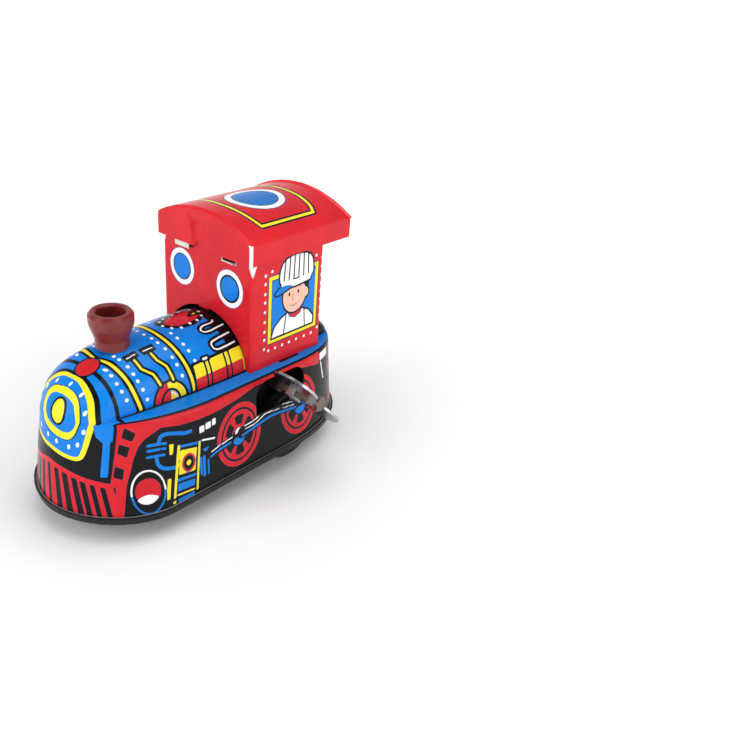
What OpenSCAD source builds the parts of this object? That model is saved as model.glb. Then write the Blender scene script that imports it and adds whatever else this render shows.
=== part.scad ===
// Tin clockwork train locomotive.
// Frame: +X towards the nose, +Y towards the key, +Z up.
// The origin is the centre of the base pan's underside. Millimetres.

/* [Body shell] */
// Length of the shell over its nose and tail
body_len = 86.2; // [84:0.1:90]
// Width of the shell at its foot
body_w = 40; // [38:0.1:42]
// Length of the rounding at the nose, in plan
nose_len = 18.6; // [17:0.1:20]
// Squareness of the nose, in plan
nose_square = 1.88; // [1.8:0.01:2.1]
// Length of the rounding at the tail, in plan
tail_len = 31; // [29:0.5:32]
// Squareness of the tail, in plan
tail_square = 2.32; // [2.25:0.01:2.4]
// Height of the running board over the pan's underside
ledge_z = 24.5; // [24.4:0.1:25]
// Half width of the running board, without its rounded edge
board_half = 18.9; // [18.7:0.1:19.1]
// Reach of the running board towards the nose
board_nose = 42.1; // [41.6:0.1:42.4]
// Reach of the running board towards the tail
board_tail = 39.1; // [38.8:0.1:39.6]
// Half width of the boiler at the running board
boiler_half = 13.6; // [13.4:0.1:13.7]
// Height of the boiler over the running board
boiler_rise = 12.05; // [11.9:0.05:12.1]
// Thickness of the drawn sheet, with its print
shell_t = 0.5; // [0.4:0.05:0.5]

/* [Base pan] */
// Depth of the pan, from its underside to its rim
pan_depth = 2.5; // [2.4:0.1:2.6]
// Thickness of the pan's sheet
pan_t = 0.5; // [0.4:0.05:0.5]
// How far the rim stands out beyond the shell
rim_out = 0.7; // [0.6:0.05:0.8]

/* [Cab] */
// Front face of the cab
cab_front = -3.3; // [-3.4:0.05:-3.2]
// Rear face of the cab
cab_rear = -28.3; // [-28.6:0.1:-28]
// Half width of the cab
cab_half = 15.4; // [15.3:0.05:15.5]
// Top of the cab's walls, inside the roof
cab_top = 56; // [55:0.1:57]
// Thickness of the cab's sheet
cab_t = 0.4; // [0.3:0.05:0.4]
// Half width of the arch in the cab's front
arch_half = 14.1; // [14:0.05:14.2]
// Height of the arch in the cab's front, over the running board
arch_rise = 12.5; // [12.4:0.05:12.6]

/* [Roof] */
// Rear edge of the roof
roof_rear = -36.3; // [-37:0.1:-36]
// Half width of the roof
roof_half = 16.3; // [16.2:0.05:16.4]
// Lower edge of the roof's flanges
roof_low = 52.2; // [51.8:0.1:52.6]
// Height of the eaves, where the arch starts
roof_eave = 57.5; // [57.2:0.1:57.8]
// Height of the roof's crown
roof_crown = 62; // [61.5:0.1:62.5]
// Radius of the rolled bead on the rear edge
bead_r = 0.6; // [0.5:0.05:0.7]

/* [Smokestack] */
// Distance of the stack from the middle of the body
stack_x = 24.5; // [24:0.1:25]
// Top of the stack's lip
stack_top = 44.2; // [43.8:0.1:44.6]
// Radius of the stack's lip
stack_lip_r = 5; // [4.8:0.1:5.2]
// Radius of the stack's foot
stack_foot_r = 3.8; // [3.7:0.1:4]
// Radius of the hole in the stack
stack_bore_r = 3.25; // [3.15:0.05:3.3]
// Depth of the hole in the stack
stack_bore_len = 6; // [5.5:0.1:6.2]

/* [Key] */
// Radius of each ear of the key
ear_r = 6; // [5.8:0.1:6.2]
// Distance from the shaft to the middle of each ear
ear_off = 6.5; // [6.3:0.1:6.7]
// Middle of the ears, from the middle of the body
ear_y = 27.5; // [27.3:0.1:27.7]
// Slope of the ears at rest, in degrees from level
key_tilt = 48; // [0:1:90]
// Thickness of the key's sheet
key_t = 0.6; // [0.5:0.05:0.6]
// Side of the arbor's square end
square_side = 2.2; // [2.1:0.05:2.2]

/* [Clockwork] */
// Gear module
gear_mod = 0.5; // [0.5:0.5:0.5]
// Teeth of the great wheel
great_teeth = 36; // [36:1:36]
// Teeth of the second gear
second_teeth = 28; // [28:1:28]
// Teeth of each pinion
pinion_teeth = 10; // [10:1:10]
// Half of the space between the two plates
plate_in = 6.6; // [6.5:0.05:6.7]
// Thickness of each plate
plate_t = 0.8; // [0.7:0.05:0.8]
// Clearance round each shaft in its bearing
run_gap = 0.05; // [0.03:0.01:0.08]
// Number of turns in the mainspring
spring_turns = 6; // [5:1:6]

/* [Wheels] */
// Radius of each rear wheel
rear_wheel_r = 9.6; // [9.5:0.05:9.7]
// Width of each rear wheel
rear_wheel_w = 3.5; // [3.2:0.1:3.6]
// Radius of each front wheel
front_wheel_r = 6.8; // [6.7:0.05:6.9]
// Width of each front wheel
front_wheel_w = 2.6; // [2.4:0.1:2.7]
// How far the wheels stand below the pan
wheel_drop = 4.5; // [4.3:0.1:4.6]

/* [Hidden] */

fine = 64;
small = 32;
// A cut runs this far past the face that it starts from
past = 1;

// Shell
half_len = body_len / 2;
half_w = body_w / 2;
board_from = [11.2, 16];
board_square = [1.84, 2.47];
wall_bow = [1.02, 0.2];
wall_steps = 3;
edge_bend = 1.4;
edge_tip = 0.15;
edge_reach = 36;
fillet_steps = 4;
crest_x = 9.6;
crest_drop = 0.127;
crest_span = 30;
waist_x = -2.7;
waist_drop = 0.146;
waist_span = 32.5;
waist_end = 33;
dome_from = [25.3, 8.6];
dome_square = [1.7, 1.8];
section_square = 1.87;
cap_sharp = 14;
corner_steps = 12;
side_steps = 6;
boiler_steps = 10;
boiler_first = 0.2;
boiler_last = 84;
open_x = -10.3;
open_half = 8.7;
open_low = 14.8;
open_high = 23.4;
open_corner = 4;
peg_r = 1.5;
peg_len = 2.4;
seat_r = 12.2;
seat_tilt = 5.7;
seat_z = ledge_z + boiler_rise * (1 - crest_drop * pow((stack_x - crest_x) / crest_span, 2)) + 0.05;
cab_tab_x = [-19.8, -16.4];
cab_slot_x = [-19.9, -13];
cab_slot_w = 1.2;
arch_shift = -0.3;
arch_tab_y = [-2.6, 0.8];
arch_tab_h = 0.55;
rear_arch = [13.7, 8.4];

// Shafts, as [x, z]
key_pos = [-10.7, 19.9];
rear_pos = [-17, rear_wheel_r - wheel_drop];
front_pos = [24, front_wheel_r - wheel_drop];
r_great = great_teeth * gear_mod / 2;
r_second = second_teeth * gear_mod / 2;
r_pinion = pinion_teeth * gear_mod / 2;
reach_great = r_great + r_pinion;
reach_second = r_second + r_pinion;
span = norm(rear_pos - key_pos);
along = (pow(reach_great, 2) - pow(reach_second, 2) + pow(span, 2)) / (2 * span);
aside = sqrt(pow(reach_great, 2) - pow(along, 2));
line = (rear_pos - key_pos) / span;
second_pos = key_pos + along * line + aside * [-line[1], line[0]];
governor_pos = second_pos + [reach_second, 0];
angle_great = atan2(second_pos[1] - key_pos[1], second_pos[0] - key_pos[0]);
angle_rear = atan2(rear_pos[1] - second_pos[1], rear_pos[0] - second_pos[0]);
pitch_second = 360 / second_teeth;
ahead = -angle_rear - pitch_second * floor(-angle_rear / pitch_second);
half_pitch = 180 / pinion_teeth;

// Teeth
pressure = 20;
add_big = 0.75;
add_small = 0.8;
dedendum = 1.2;
backlash = 0.16;
flank_steps = 3;

// Train, along Y
arbor_r = 1.6;
second_r = 0.8;
axle_r = 1;
governor_r = 0.7;
front_axle_r = 0.9;
great_y = -1.2;
great_w = 1;
second_y = -4.4;
second_w = 0.9;
pinion_over = 0.5;
ratchet_y = -2.3;
ratchet_w = 0.9;
shaft_over = 0.4;
flywheel_r = 5.5;
flywheel_y = 1.5;
flywheel_w = 2.5;

// Ratchet and click
ratchet_teeth = 12;
ratchet_r = 4;
ratchet_root = 3.1;
click_at = [6.6, 50];
click_pin_r = 0.6;
click_hub_r = 1.25;
click_w = 0.7;
click_spring_t = 0.25;

// Mainspring
spring_in = 2.4;
spring_out = 8.3;
spring_t = 0.3;
spring_y = 0.6;
spring_w = 5;
spring_steps = 24;
post_turn = 120;
post_r = 1.2;
post_reach = r_great + add_big * gear_mod + post_r + 0.35;
post_pos = key_pos + post_reach * [cos(post_turn), sin(post_turn)];
pillar_pos = [post_pos, [-20.5, 12], [3, 17.5]];
pillar_end_r = 0.8;

// Plates and their feet
plate_x = [-23, 6];
plate_z = [1.6, 30.8];
foot_x = [-16, 0];
foot_reach = 3.6;
foot_plate_t = 0.6;
rivet_x = [-13.5, -2.5];
rivet_y = plate_in + plate_t + 2;
rivet_r = 0.7;
rivet_head_r = 1.3;
rivet_head_t = 0.5;

// Wheels and the front bracket
rear_wheel_y = 13.2;
front_wheel_y = 6.2;
slot_gap = 0.8;
bracket_half_y = 4.8;
bracket_half_x = 4.2;
bracket_t = 0.5;
bracket_top = 4.2;
bracket_rivet_x = 2.8;

// Key
strap_in = [22.4, 24.8];
strap_out = [29, 31.2];
hat_gap = square_side / 2;
hat_leg = hat_gap + key_t;
square_from = 19;
peen_y = strap_out[1];
peen_len = 0.9;
peen_r = 1.75;

// Lays a flat shape upright: its own x, y become X, Z, and its thickness runs along +Y from y0
module upright(pos, y0, w)
    translate([pos[0], y0 + w, pos[1]]) rotate([90, 0, 0]) linear_extrude(w) children();

// A round bar along Y
module bar(pos, y0, y1, r, f = fine)
    translate([pos[0], y1, pos[1]]) rotate([90, 0, 0]) cylinder(h = y1 - y0, r = r, $fn = f);

// Plan of the body's foot. w is the half width, len the half length
function side_point(i, w, len) =
    let (n = corner_steps)
    i <= n ? let (a = 90 * i / n)
        [len - nose_len + nose_len * pow(cos(a), 2 / nose_square), w * pow(sin(a), 2 / nose_square)]
    : i < n + side_steps ? let (s = (i - n) / side_steps)
        [(len - nose_len) * (1 - s) - (len - tail_len) * s, w]
    : let (a = 90 * (2 * n + side_steps - i) / n)
        [-(len - tail_len) - tail_len * pow(cos(a), 2 / tail_square), w * pow(sin(a), 2 / tail_square)];
last_i = 2 * corner_steps + side_steps;
ring_n = 2 * last_i;
// Closes the left half of a level, nose to tail, with its mirror image
function closed(half) = concat(half, [for (i = [last_i - 1:-1:1]) [half[i][0], -half[i][1], half[i][2]]]);
function outline(w, len) = let (half = [for (i = [0:last_i]) concat(side_point(i, w, len), 0)])
    [for (p = closed(half)) [p[0], p[1]]];

// Half width of the running board at x, set in by t
function rounded(u, n) = pow(max(0, 1 - pow(max(0, u), n)), 1 / n);
function board(x, t) = (board_half - t)
    * rounded((x - board_from[0]) / (board_nose - t - board_from[0]), board_square[0])
    * rounded((-x - board_from[1]) / (board_tail - t - board_from[1]), board_square[1]);
function bend(x) = max(edge_tip, edge_bend * (1 - pow(abs(x) / edge_reach, 4)));

// Point of the wall at height z, leaning in from the foot to the running board, then bent over by a
function wall_point(i, t, z, a) =
    let (p = side_point(i, half_w - t, half_len - t), turn = 1 - cos(a), tip = t + edge_tip * turn,
        x = p[0] * ((p[0] > 0 ? board_nose : board_tail) - tip) / (half_len - t),
        y = board(x, tip) * (1 - bend(x) * turn / board_half),
        f = pow((z - pan_depth) / (ledge_z - t - pan_depth), wall_bow[0] + wall_bow[1] * p[0] / half_len))
    [p[0] * (1 - f) + x * f, p[1] * (1 - f) + y * f, z];

// Point of the boiler, a degrees up from the running board, its ends drawn in to domes
function held(y, cap) = y < 0.001 ? y
    : y * cap / pow(pow(y, cap_sharp) + pow(cap, cap_sharp), 1 / cap_sharp);
function drawn(x, s) = x > dome_from[0] ? dome_from[0] + (x - dome_from[0]) * rounded(s, dome_square[0])
    : x < -dome_from[1] ? -dome_from[1] + (x + dome_from[1]) * rounded(s, dome_square[1]) : x;
function crest(x) = boiler_rise * (1 - crest_drop * pow((x - crest_x) / crest_span, 2));
function waist(x) = let (u = max(-waist_end, min(waist_end, x)))
    boiler_half * (1 - waist_drop * pow((u - waist_x) / waist_span, 2));
function boiler_point(i, t, a) =
    let (e = wall_point(i, t, ledge_z - t, 90), s = sin(a), x = drawn(e[0], s))
    [x, held(e[1], waist(e[0]) - t) * pow(1 - s * s, 1 / section_square), ledge_z - t + crest(x) * s];

// All levels of one skin, set in by t from the outside
function skin(t) = concat(
    [for (k = [0:wall_steps - 1]) let (z = pan_depth + (ledge_z - edge_bend - pan_depth) * k / wall_steps)
        closed([for (i = [0:last_i]) wall_point(i, t, z, 0)])],
    [for (k = [0:fillet_steps]) let (a = 90 * k / fillet_steps,
        z = ledge_z - edge_bend + (edge_bend - t) * sin(a))
        closed([for (i = [0:last_i]) wall_point(i, t, z, a)])],
    [for (k = [0:boiler_steps]) let (a = boiler_first + (boiler_last - boiler_first) * k / boiler_steps)
        closed([for (i = [0:last_i]) boiler_point(i, t, a)])]
);

// Faces across the crown, between the two sides of the ring that starts at point m
function crown_face(m, up, p) = [for (i = up ? p : [for (k = [len(p) - 1:-1:0]) p[k]]) m + i % ring_n];
function crown_faces(m, up) = [for (i = [0:last_i - 1])
    each [if (i < last_i - 1) crown_face(m, up, [i, i + 1, ring_n - i - 1]),
        if (i == last_i - 1) crown_face(m, up, [i, i + 1, ring_n - i]),
        if (i > 0 && i < last_i - 1) crown_face(m, up, [i, ring_n - i - 1, ring_n - i])]];

// Joins rings of equal count, all counter-clockwise from above, into one closed skin
module drawn_sheet(outer, inner) {
    n = ring_n;
    a = len(outer);
    b = len(inner);
    rings = concat([for (i = [a - 1:-1:0]) outer[i]], inner);
    points = [for (r = rings) each r];
    faces = concat(
        crown_faces(0, false),
        [for (i = [0:a + b - 2], j = [0:n - 1]) let (k = (j + 1) % n)
            each [[i * n + j, i * n + k, (i + 1) * n + k], [i * n + j, (i + 1) * n + k, (i + 1) * n + j]]],
        crown_faces((a + b - 1) * n, true)
    );
    polyhedron(points, faces);
}

module key_opening() {
    r = open_corner;
    upright([open_x, 0], half_w / 2, half_w) {
        translate([-open_half, open_low]) square([2 * open_half, open_high - r - open_low]);
        translate([r - open_half, open_low]) square([2 * (open_half - r), open_high - open_low]);
        for (s = [-1, 1]) translate([s * (open_half - r), open_high - r]) circle(r, $fn = fine);
    }
}

module body_shell() color("royalblue") difference() {
    drawn_sheet(skin(0), skin(shell_t));
    key_opening();
    translate([stack_x, 0, ledge_z]) cylinder(h = body_w, r = peg_r, $fn = small);
    for (s = [-1, 1])
        translate([cab_slot_x[0], s * (cab_half - cab_t + cab_slot_w / 2) - cab_slot_w / 2, ledge_z - 2 * shell_t])
            cube([cab_slot_x[1] - cab_slot_x[0], cab_slot_w, 3 * shell_t]);
}
body_shell();

// One step of the pan's wall, between two insets from the shell's foot
module pan_step(z0, z1, out, in) translate([0, 0, z0]) linear_extrude(z1 - z0) difference() {
    polygon(outline(half_w + out, half_len + out));
    polygon(outline(half_w + in, half_len + in));
}

// A wheel's slot through the pan
module wheel_slot(pos, r, y0, w, s) {
    reach = sqrt(pow(r, 2) - pow(pos[1], 2)) + slot_gap;
    low = s > 0 ? y0 - slot_gap : -y0 - w - slot_gap;
    translate([pos[0] - reach, low, -past]) cube([2 * reach, w + 2 * slot_gap, pan_depth + past]);
}

module rivet_hole(x, y) translate([x, y, -past]) cylinder(h = pan_depth + past, r = rivet_r, $fn = small);

module base_pan() color("dimgray") difference() {
    union() {
        linear_extrude(pan_t) polygon(outline(half_w - 1, half_len - 1));
        pan_step(pan_t / 2, 1.2, -0.2, -1.6);
        pan_step(0.8, pan_depth - 0.4, rim_out - 0.3, -0.4);
        pan_step(pan_depth - 0.6, pan_depth, rim_out, -0.4);
    }
    for (s = [-1, 1]) {
        wheel_slot(rear_pos, rear_wheel_r, rear_wheel_y, rear_wheel_w, s);
        wheel_slot(front_pos, front_wheel_r, front_wheel_y, front_wheel_w, s);
        for (x = rivet_x) rivet_hole(x, s * rivet_y);
        rivet_hole(front_pos[0] + s * bracket_rivet_x, 0);
    }
}

// An arch over the boiler, from x0 along X
module arch(x0, w, half, rise) translate([x0, 0, ledge_z]) rotate([90, 0, 90])
    linear_extrude(w) scale([half, rise]) circle(1, $fn = 2 * fine);

// The cab is one folded sheet: front, two sides and rear, open above and below
module cab() color("crimson") {
    difference() {
        translate([cab_rear, -cab_half, ledge_z + 0.05])
            cube([cab_front - cab_rear, 2 * cab_half, cab_top - ledge_z]);
        translate([cab_rear + cab_t, cab_t - cab_half, 0])
            cube([cab_front - cab_rear - 2 * cab_t, 2 * (cab_half - cab_t), cab_top + past]);
        difference() {
            translate([0, arch_shift, 0]) arch(cab_front - 2 * past, 3 * past, arch_half, arch_rise);
            translate([cab_front - 3 * past, arch_tab_y[0], ledge_z + arch_rise - arch_tab_h])
                cube([5 * past, arch_tab_y[1] - arch_tab_y[0], 2]);
        }
        arch(cab_rear - past, 3 * past, rear_arch[0], rear_arch[1]);
        for (s = [-1, 1]) roof_tab(s, 0.15);
        for (x = [cab_rear, cab_front - 2.2])
            translate([x - 0.1, -half_w, 0]) cube([2.3, body_w, ledge_z + 0.5]);
        roof_corner();
        translate([cab_rear - past, -half_w, cab_top - 1.5]) cube([3, body_w, 3]);
    }
    for (s = [-1, 1])
        translate([cab_tab_x[0], s > 0 ? cab_half - cab_t : -cab_half, ledge_z - 1.6])
            cube([cab_tab_x[1] - cab_tab_x[0], cab_t, 2]);
}

// The notches at the cab's front folds
module roof_corner()
    for (s = [-1, 1]) translate([cab_front, s * cab_half, roof_low - 2.2]) rotate([0, 0, 45])
        translate([-0.8, -0.8, 0]) cube([1.6, 1.6, 3]);

// Tongue of the roof that goes through a slot in the cab's front
module roof_tab(s, gap) {
    w = 3;
    t = 0.4;
    translate([cab_front - 3, s * 7 - w / 2 - gap, roof_low - 1.4 - t - gap])
        cube([4.2 + 2 * gap, w + 2 * gap, t + 2 * gap]);
}

module roof_outline(inset) {
    half = roof_half - inset;
    crown = roof_crown - inset;
    rise = roof_crown - roof_eave;
    arc_r = (pow(roof_half, 2) + pow(rise, 2)) / (2 * rise);
    intersection() {
        translate([-half, roof_low - 2 * past]) square([2 * half, roof_crown]);
        union() {
            intersection() {
                translate([0, roof_crown - arc_r]) circle(arc_r - inset, $fn = 4 * fine);
                translate([-half, roof_eave - 2]) square([2 * half, roof_crown]);
            }
            translate([-half, roof_low - 2 * past])
                square([2 * half, roof_eave + 2 * past - roof_low - inset]);
        }
    }
}

// Lays a shape drawn in Y, Z along X from x0
module lengthwise(x0, w) translate([x0, 0, 0]) rotate([90, 0, 90]) linear_extrude(w) children();

module roof() color("firebrick") {
    t = cab_t;
    front = cab_front + 0.1;
    rise = roof_crown - roof_eave;
    arc_r = (pow(roof_half, 2) + pow(rise, 2)) / (2 * rise);
    reach = asin((roof_half - 0.4) / arc_r);
    difference() {
        lengthwise(roof_rear, front + t - roof_rear) roof_outline(0);
        lengthwise(roof_rear - past, front - roof_rear + past) roof_outline(t);
        translate([roof_rear - past, -half_w, 0]) cube([body_len, body_w, roof_low]);
    }
    translate([roof_rear, 0, roof_crown - arc_r - 0.1]) rotate([90, 0, 90]) rotate([0, 0, 90 - reach])
        rotate_extrude(angle = 2 * reach, $fn = 4 * fine) translate([arc_r, 0]) circle(bead_r, $fn = small);
    // The tongues hang from the flange's edge and bend back through the cab
    for (s = [-1, 1]) {
        roof_tab(s, 0);
        translate([front, s * 7 - 1.5, roof_low - 1.8]) cube([t, 3, 2.2]);
    }
}

// The stack's foot is shaped to the boiler, and its peg goes through the sheet
module smokestack() color("maroon") translate([stack_x, 0, 0]) {
    difference() {
        rotate_extrude($fn = fine) polygon([
            [0, seat_z - 1.6], [stack_foot_r, seat_z - 1.6], [stack_foot_r, seat_z + 1.6],
            [stack_foot_r + 0.25, seat_z + 2.4], [stack_lip_r - 0.2, stack_top - 3.4],
            [stack_lip_r, stack_top - 2.4], [stack_lip_r, stack_top - 0.7], [stack_lip_r - 0.6, stack_top],
            [stack_bore_r + 0.4, stack_top], [stack_bore_r, stack_top - 0.4],
            [stack_bore_r, stack_top - stack_bore_len], [0, stack_top - stack_bore_len]
        ]);
        translate([0, 0, seat_z - seat_r]) rotate([0, 90 + seat_tilt, 0])
            cylinder(h = body_w, r = seat_r, center = true, $fn = 4 * fine);
    }
    translate([0, 0, seat_z - peg_len]) cylinder(h = peg_len + 0.5, r = peg_r, $fn = small);
}

module stack_push_nut() color("silver") {
    translate([stack_x, 0, seat_z - peg_len + 0.4]) difference() {
        cylinder(h = 0.4, r = 3, $fn = fine);
        translate([0, 0, -past]) cylinder(h = 3 * past, r = peg_r, $fn = small);
    }
}

// Plate of the clockwork, with its foot turned out along the pan's floor
module motor_plate(s) {
    y0 = s > 0 ? plate_in : -plate_in - plate_t;
    cut = 4;
    upright([0, 0], y0, plate_t) difference() {
        polygon([
            [plate_x[0], plate_z[0]], [foot_x[0], plate_z[0]], [foot_x[0], pan_t + foot_plate_t / 2],
            [foot_x[1], pan_t + foot_plate_t / 2], [foot_x[1], plate_z[0]], [plate_x[1] - 1, plate_z[0]],
            [plate_x[1], plate_z[0] + 1], [plate_x[1], 20], [-4, plate_z[1]],
            [plate_x[0] + cut, plate_z[1]], [plate_x[0], plate_z[1] - cut]
        ]);
        translate(key_pos) circle(arbor_r + run_gap, $fn = fine);
        translate(second_pos) circle(second_r + run_gap, $fn = fine);
        translate(rear_pos) circle(axle_r + run_gap, $fn = fine);
        translate(governor_pos) circle(governor_r + run_gap, $fn = fine);
        for (p = pillar_pos) translate(p) circle(pillar_end_r, $fn = fine);
    }
    difference() {
        translate([foot_x[0], s > 0 ? plate_in : -plate_in - foot_reach, pan_t])
            cube([foot_x[1] - foot_x[0], foot_reach, foot_plate_t]);
        for (x = rivet_x) rivet_hole(x, s * rivet_y);
    }
}

module motor_plate_left() color("gainsboro") motor_plate(1);
module motor_plate_right() color("gainsboro") motor_plate(-1);

module motor_pillars() color("silver") for (p = pillar_pos) {
    bar(p, -plate_in, plate_in, post_r);
    bar(p, -plate_in - plate_t - 0.3, plate_in + plate_t + 0.3, pillar_end_r);
}

module rivet(x, y, seat) translate([x, y, 0]) {
    cylinder(h = seat + 0.1, r = rivet_r, $fn = small);
    translate([0, 0, seat]) cylinder(h = rivet_head_t, r = rivet_head_r, $fn = small);
}

module motor_rivets() color("silver")
    for (x = rivet_x, s = [-1, 1]) rivet(x, s * rivet_y, pan_t + foot_plate_t);
module bracket_rivets() color("silver")
    for (s = [-1, 1]) rivet(front_pos[0] + s * bracket_rivet_x, 0, pan_t + bracket_t);

module front_axle_bracket() color("gainsboro") difference() {
    translate([front_pos[0] - bracket_half_x, -bracket_half_y, pan_t])
        cube([2 * bracket_half_x, 2 * bracket_half_y, bracket_top - pan_t]);
    translate([front_pos[0] - bracket_half_x - past, bracket_t - bracket_half_y, pan_t + bracket_t])
        cube([2 * (bracket_half_x + past), 2 * (bracket_half_y - bracket_t), bracket_top]);
    bar(front_pos, -half_w, half_w, front_axle_r + run_gap);
    for (s = [-1, 1]) rivet_hole(front_pos[0] + s * bracket_rivet_x, 0);
}

// Spiral band, from the arbor out to the post that holds its end
function coil(f, side) = let (a = post_turn - 360 * spring_turns * (1 - f),
    r = spring_in + (spring_out - spring_in) * f + side * spring_t) r * [cos(a), sin(a)];
module mainspring() color("slategray") {
    n = spring_turns * spring_steps;
    upright(key_pos, spring_y, spring_w) union() {
        polygon(concat([for (i = [0:n]) coil(i / n, 1)], [for (i = [n:-1:0]) coil(i / n, 0)]));
        rotate(post_turn) translate([spring_out, -spring_t / 2])
            square([post_reach - post_r - spring_out, spring_t]);
    }
}

// Involute tooth form
function inv(rb, r) = r > rb ? let (a = acos(rb / r)) tan(a) * 180 / PI - a : 0;
function tooth(z, add, k) =
    let (rp = z * gear_mod / 2, rb = rp * cos(pressure), ra = rp + add * gear_mod,
        rr = rp - dedendum * gear_mod, r0 = max(rb, rr + 0.01),
        half = 90 / z - backlash / 2 / rp * 180 / PI + inv(rb, rp),
        radii = [for (i = [0:flank_steps]) r0 + (ra - r0) * i / flank_steps],
        flank = [for (r = radii) [r, half - inv(rb, r)]],
        side = concat([[rr, half]], flank), c = 360 * k / z)
    concat([for (p = side) p[0] * [cos(c - p[1]), sin(c - p[1])]],
        [for (i = [len(side) - 1:-1:0]) let (p = side[i]) p[0] * [cos(c + p[1]), sin(c + p[1])]]);
module gear_shape(z, add, bore) difference() {
    polygon([for (k = [0:z - 1]) each tooth(z, add, k)]);
    circle(bore, $fn = fine);
}

module great_wheel() color("goldenrod") upright(key_pos, great_y, great_w) difference() {
    rotate(angle_great) gear_shape(great_teeth, add_big, arbor_r + run_gap);
    rotate(click_at[1]) translate([click_at[0], 0]) circle(click_pin_r, $fn = small);
}

module ratchet_wheel() color("darkgray") upright(key_pos, ratchet_y, ratchet_w) difference() {
    polygon([for (k = [0:ratchet_teeth - 1]) let (a = 360 * k / ratchet_teeth)
        each [ratchet_r * [cos(a), sin(a)], ratchet_root * [cos(a + 0.3), sin(a + 0.3)]]]);
    circle(arbor_r, $fn = fine);
}

function polar(r, a) = r * [cos(a), sin(a)];
module click() color("darkgray") upright(key_pos, ratchet_y + 0.1, click_w) difference() {
    union() {
        polygon([
            polar(4.9, 3), polar(7.5, 45), polar(5.6, 45),
            polar(4.45, 27), polar(3.85, 14), polar(3.3, 2)
        ]);
        translate(polar(click_at[0], click_at[1])) circle(click_hub_r, $fn = small);
    }
    translate(polar(click_at[0], click_at[1])) circle(click_pin_r + run_gap, $fn = small);
}

click_pos = key_pos + polar(click_at[0], click_at[1]);
module click_pin() color("silver") {
    bar(click_pos, ratchet_y + 0.05, great_y + great_w, click_pin_r, small);
    bar(click_pos, ratchet_y - 0.45, ratchet_y + 0.05, click_pin_r + 0.4, small);
}

// Leaf that presses on the click just below its pin
module click_spring() color("silver") upright(key_pos, ratchet_y + 0.1, great_y - ratchet_y - 0.1)
    polygon([
        polar(6.3, 29.5), polar(6.3 + click_spring_t, 27.5), polar(8.17, 39.5),
        polar(8.1, 41.5), polar(7.6, 40.5)
    ]);

module winding_arbor() color("silver") {
    bar(key_pos, -plate_in - plate_t - shaft_over, square_from, arbor_r);
    translate([key_pos[0], 0, key_pos[1]]) rotate([0, -key_tilt, 0])
        translate([-square_side / 2, square_from - 0.1, -square_side / 2])
            cube([square_side, strap_out[1] - square_from + 0.1, square_side]);
    bar(key_pos, peen_y, peen_y + peen_len, peen_r, small);
}

// The key is one sheet: two ears, with straps raised on either side of the shaft
module strap(span, side) {
    w = side > 0 ? hat_gap : -hat_leg;
    legs = side > 0 ? [-key_t / 2, hat_leg] : [-hat_leg, key_t / 2];
    translate([-hat_leg, span[0], w]) cube([2 * hat_leg, span[1] - span[0], key_t]);
    for (u = [-hat_leg, hat_gap]) translate([u, span[0], legs[0]])
        cube([key_t, span[1] - span[0], legs[1] - legs[0]]);
}
module key() color("gainsboro") translate([key_pos[0], 0, key_pos[1]]) rotate([0, -key_tilt, 0]) {
    difference() {
        union() {
            for (s = [-1, 1]) translate([s * ear_off, ear_y, -key_t / 2])
                cylinder(h = key_t, r = ear_r, $fn = fine);
            translate([-hat_leg - 0.6, strap_in[0], -key_t / 2])
                cube([2 * (hat_leg + 0.6), strap_out[1] - strap_in[0], key_t]);
        }
        translate([-hat_gap, 0, -past]) cube([2 * hat_gap, 2 * body_w, 2 * past]);
    }
    strap(strap_in, -1);
    strap([strap_in[1], strap_out[0]], 1);
    strap(strap_out, -1);
}

module second_arbor() color("silver")
    bar(second_pos, -plate_in - plate_t - shaft_over, plate_in + plate_t + shaft_over, second_r);
module second_pinion() color("goldenrod")
    upright(second_pos, great_y - pinion_over, great_w + 2 * pinion_over)
        rotate(angle_great + 180 + half_pitch) gear_shape(pinion_teeth, add_small, second_r);
module second_gear() color("goldenrod") upright(second_pos, second_y, second_w)
    rotate(angle_rear) gear_shape(second_teeth, add_big, second_r);

module rear_axle() color("silver")
    bar(rear_pos, -rear_wheel_y - rear_wheel_w - 0.3, rear_wheel_y + rear_wheel_w + 0.3, axle_r);
module axle_pinion() color("goldenrod")
    upright(rear_pos, second_y - pinion_over, second_w + 2 * pinion_over)
        rotate(angle_rear + 180 + half_pitch) gear_shape(pinion_teeth, add_small, axle_r);

// Solid wheel with a dished face, its axle along Y
module wheel(pos, y0, w, r, bore, s)
    translate([pos[0], s > 0 ? y0 : -y0, pos[1]]) rotate([s > 0 ? -90 : 90, 0, 0])
        rotate_extrude($fn = 2 * fine) polygon([
            [bore, -0.4], [bore + 1.2, -0.4], [bore + 1.6, 0], [r - 0.5, 0], [r, 0.5],
            [r, w - 0.5], [r - 0.5, w], [r - 1.6, w], [r - 2.1, w - 0.7],
            [bore + 1.6, w - 0.7], [bore + 1.2, w], [bore, w]
        ]);
module rear_wheel_left() color("black")
    wheel(rear_pos, rear_wheel_y, rear_wheel_w, rear_wheel_r, axle_r, 1);
module rear_wheel_right() color("black")
    wheel(rear_pos, rear_wheel_y, rear_wheel_w, rear_wheel_r, axle_r, -1);

module governor_arbor() color("silver")
    bar(governor_pos, -plate_in - plate_t - shaft_over, plate_in + plate_t + shaft_over, governor_r);
module governor_pinion() color("goldenrod")
    upright(governor_pos, second_y - pinion_over, second_w + 2 * pinion_over)
        rotate(180 + half_pitch + ahead * second_teeth / pinion_teeth)
            gear_shape(pinion_teeth, add_small, governor_r);
module governor_flywheel() color("goldenrod") upright(governor_pos, flywheel_y, flywheel_w) difference() {
    circle(flywheel_r, $fn = fine);
    circle(governor_r, $fn = fine);
}

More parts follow.
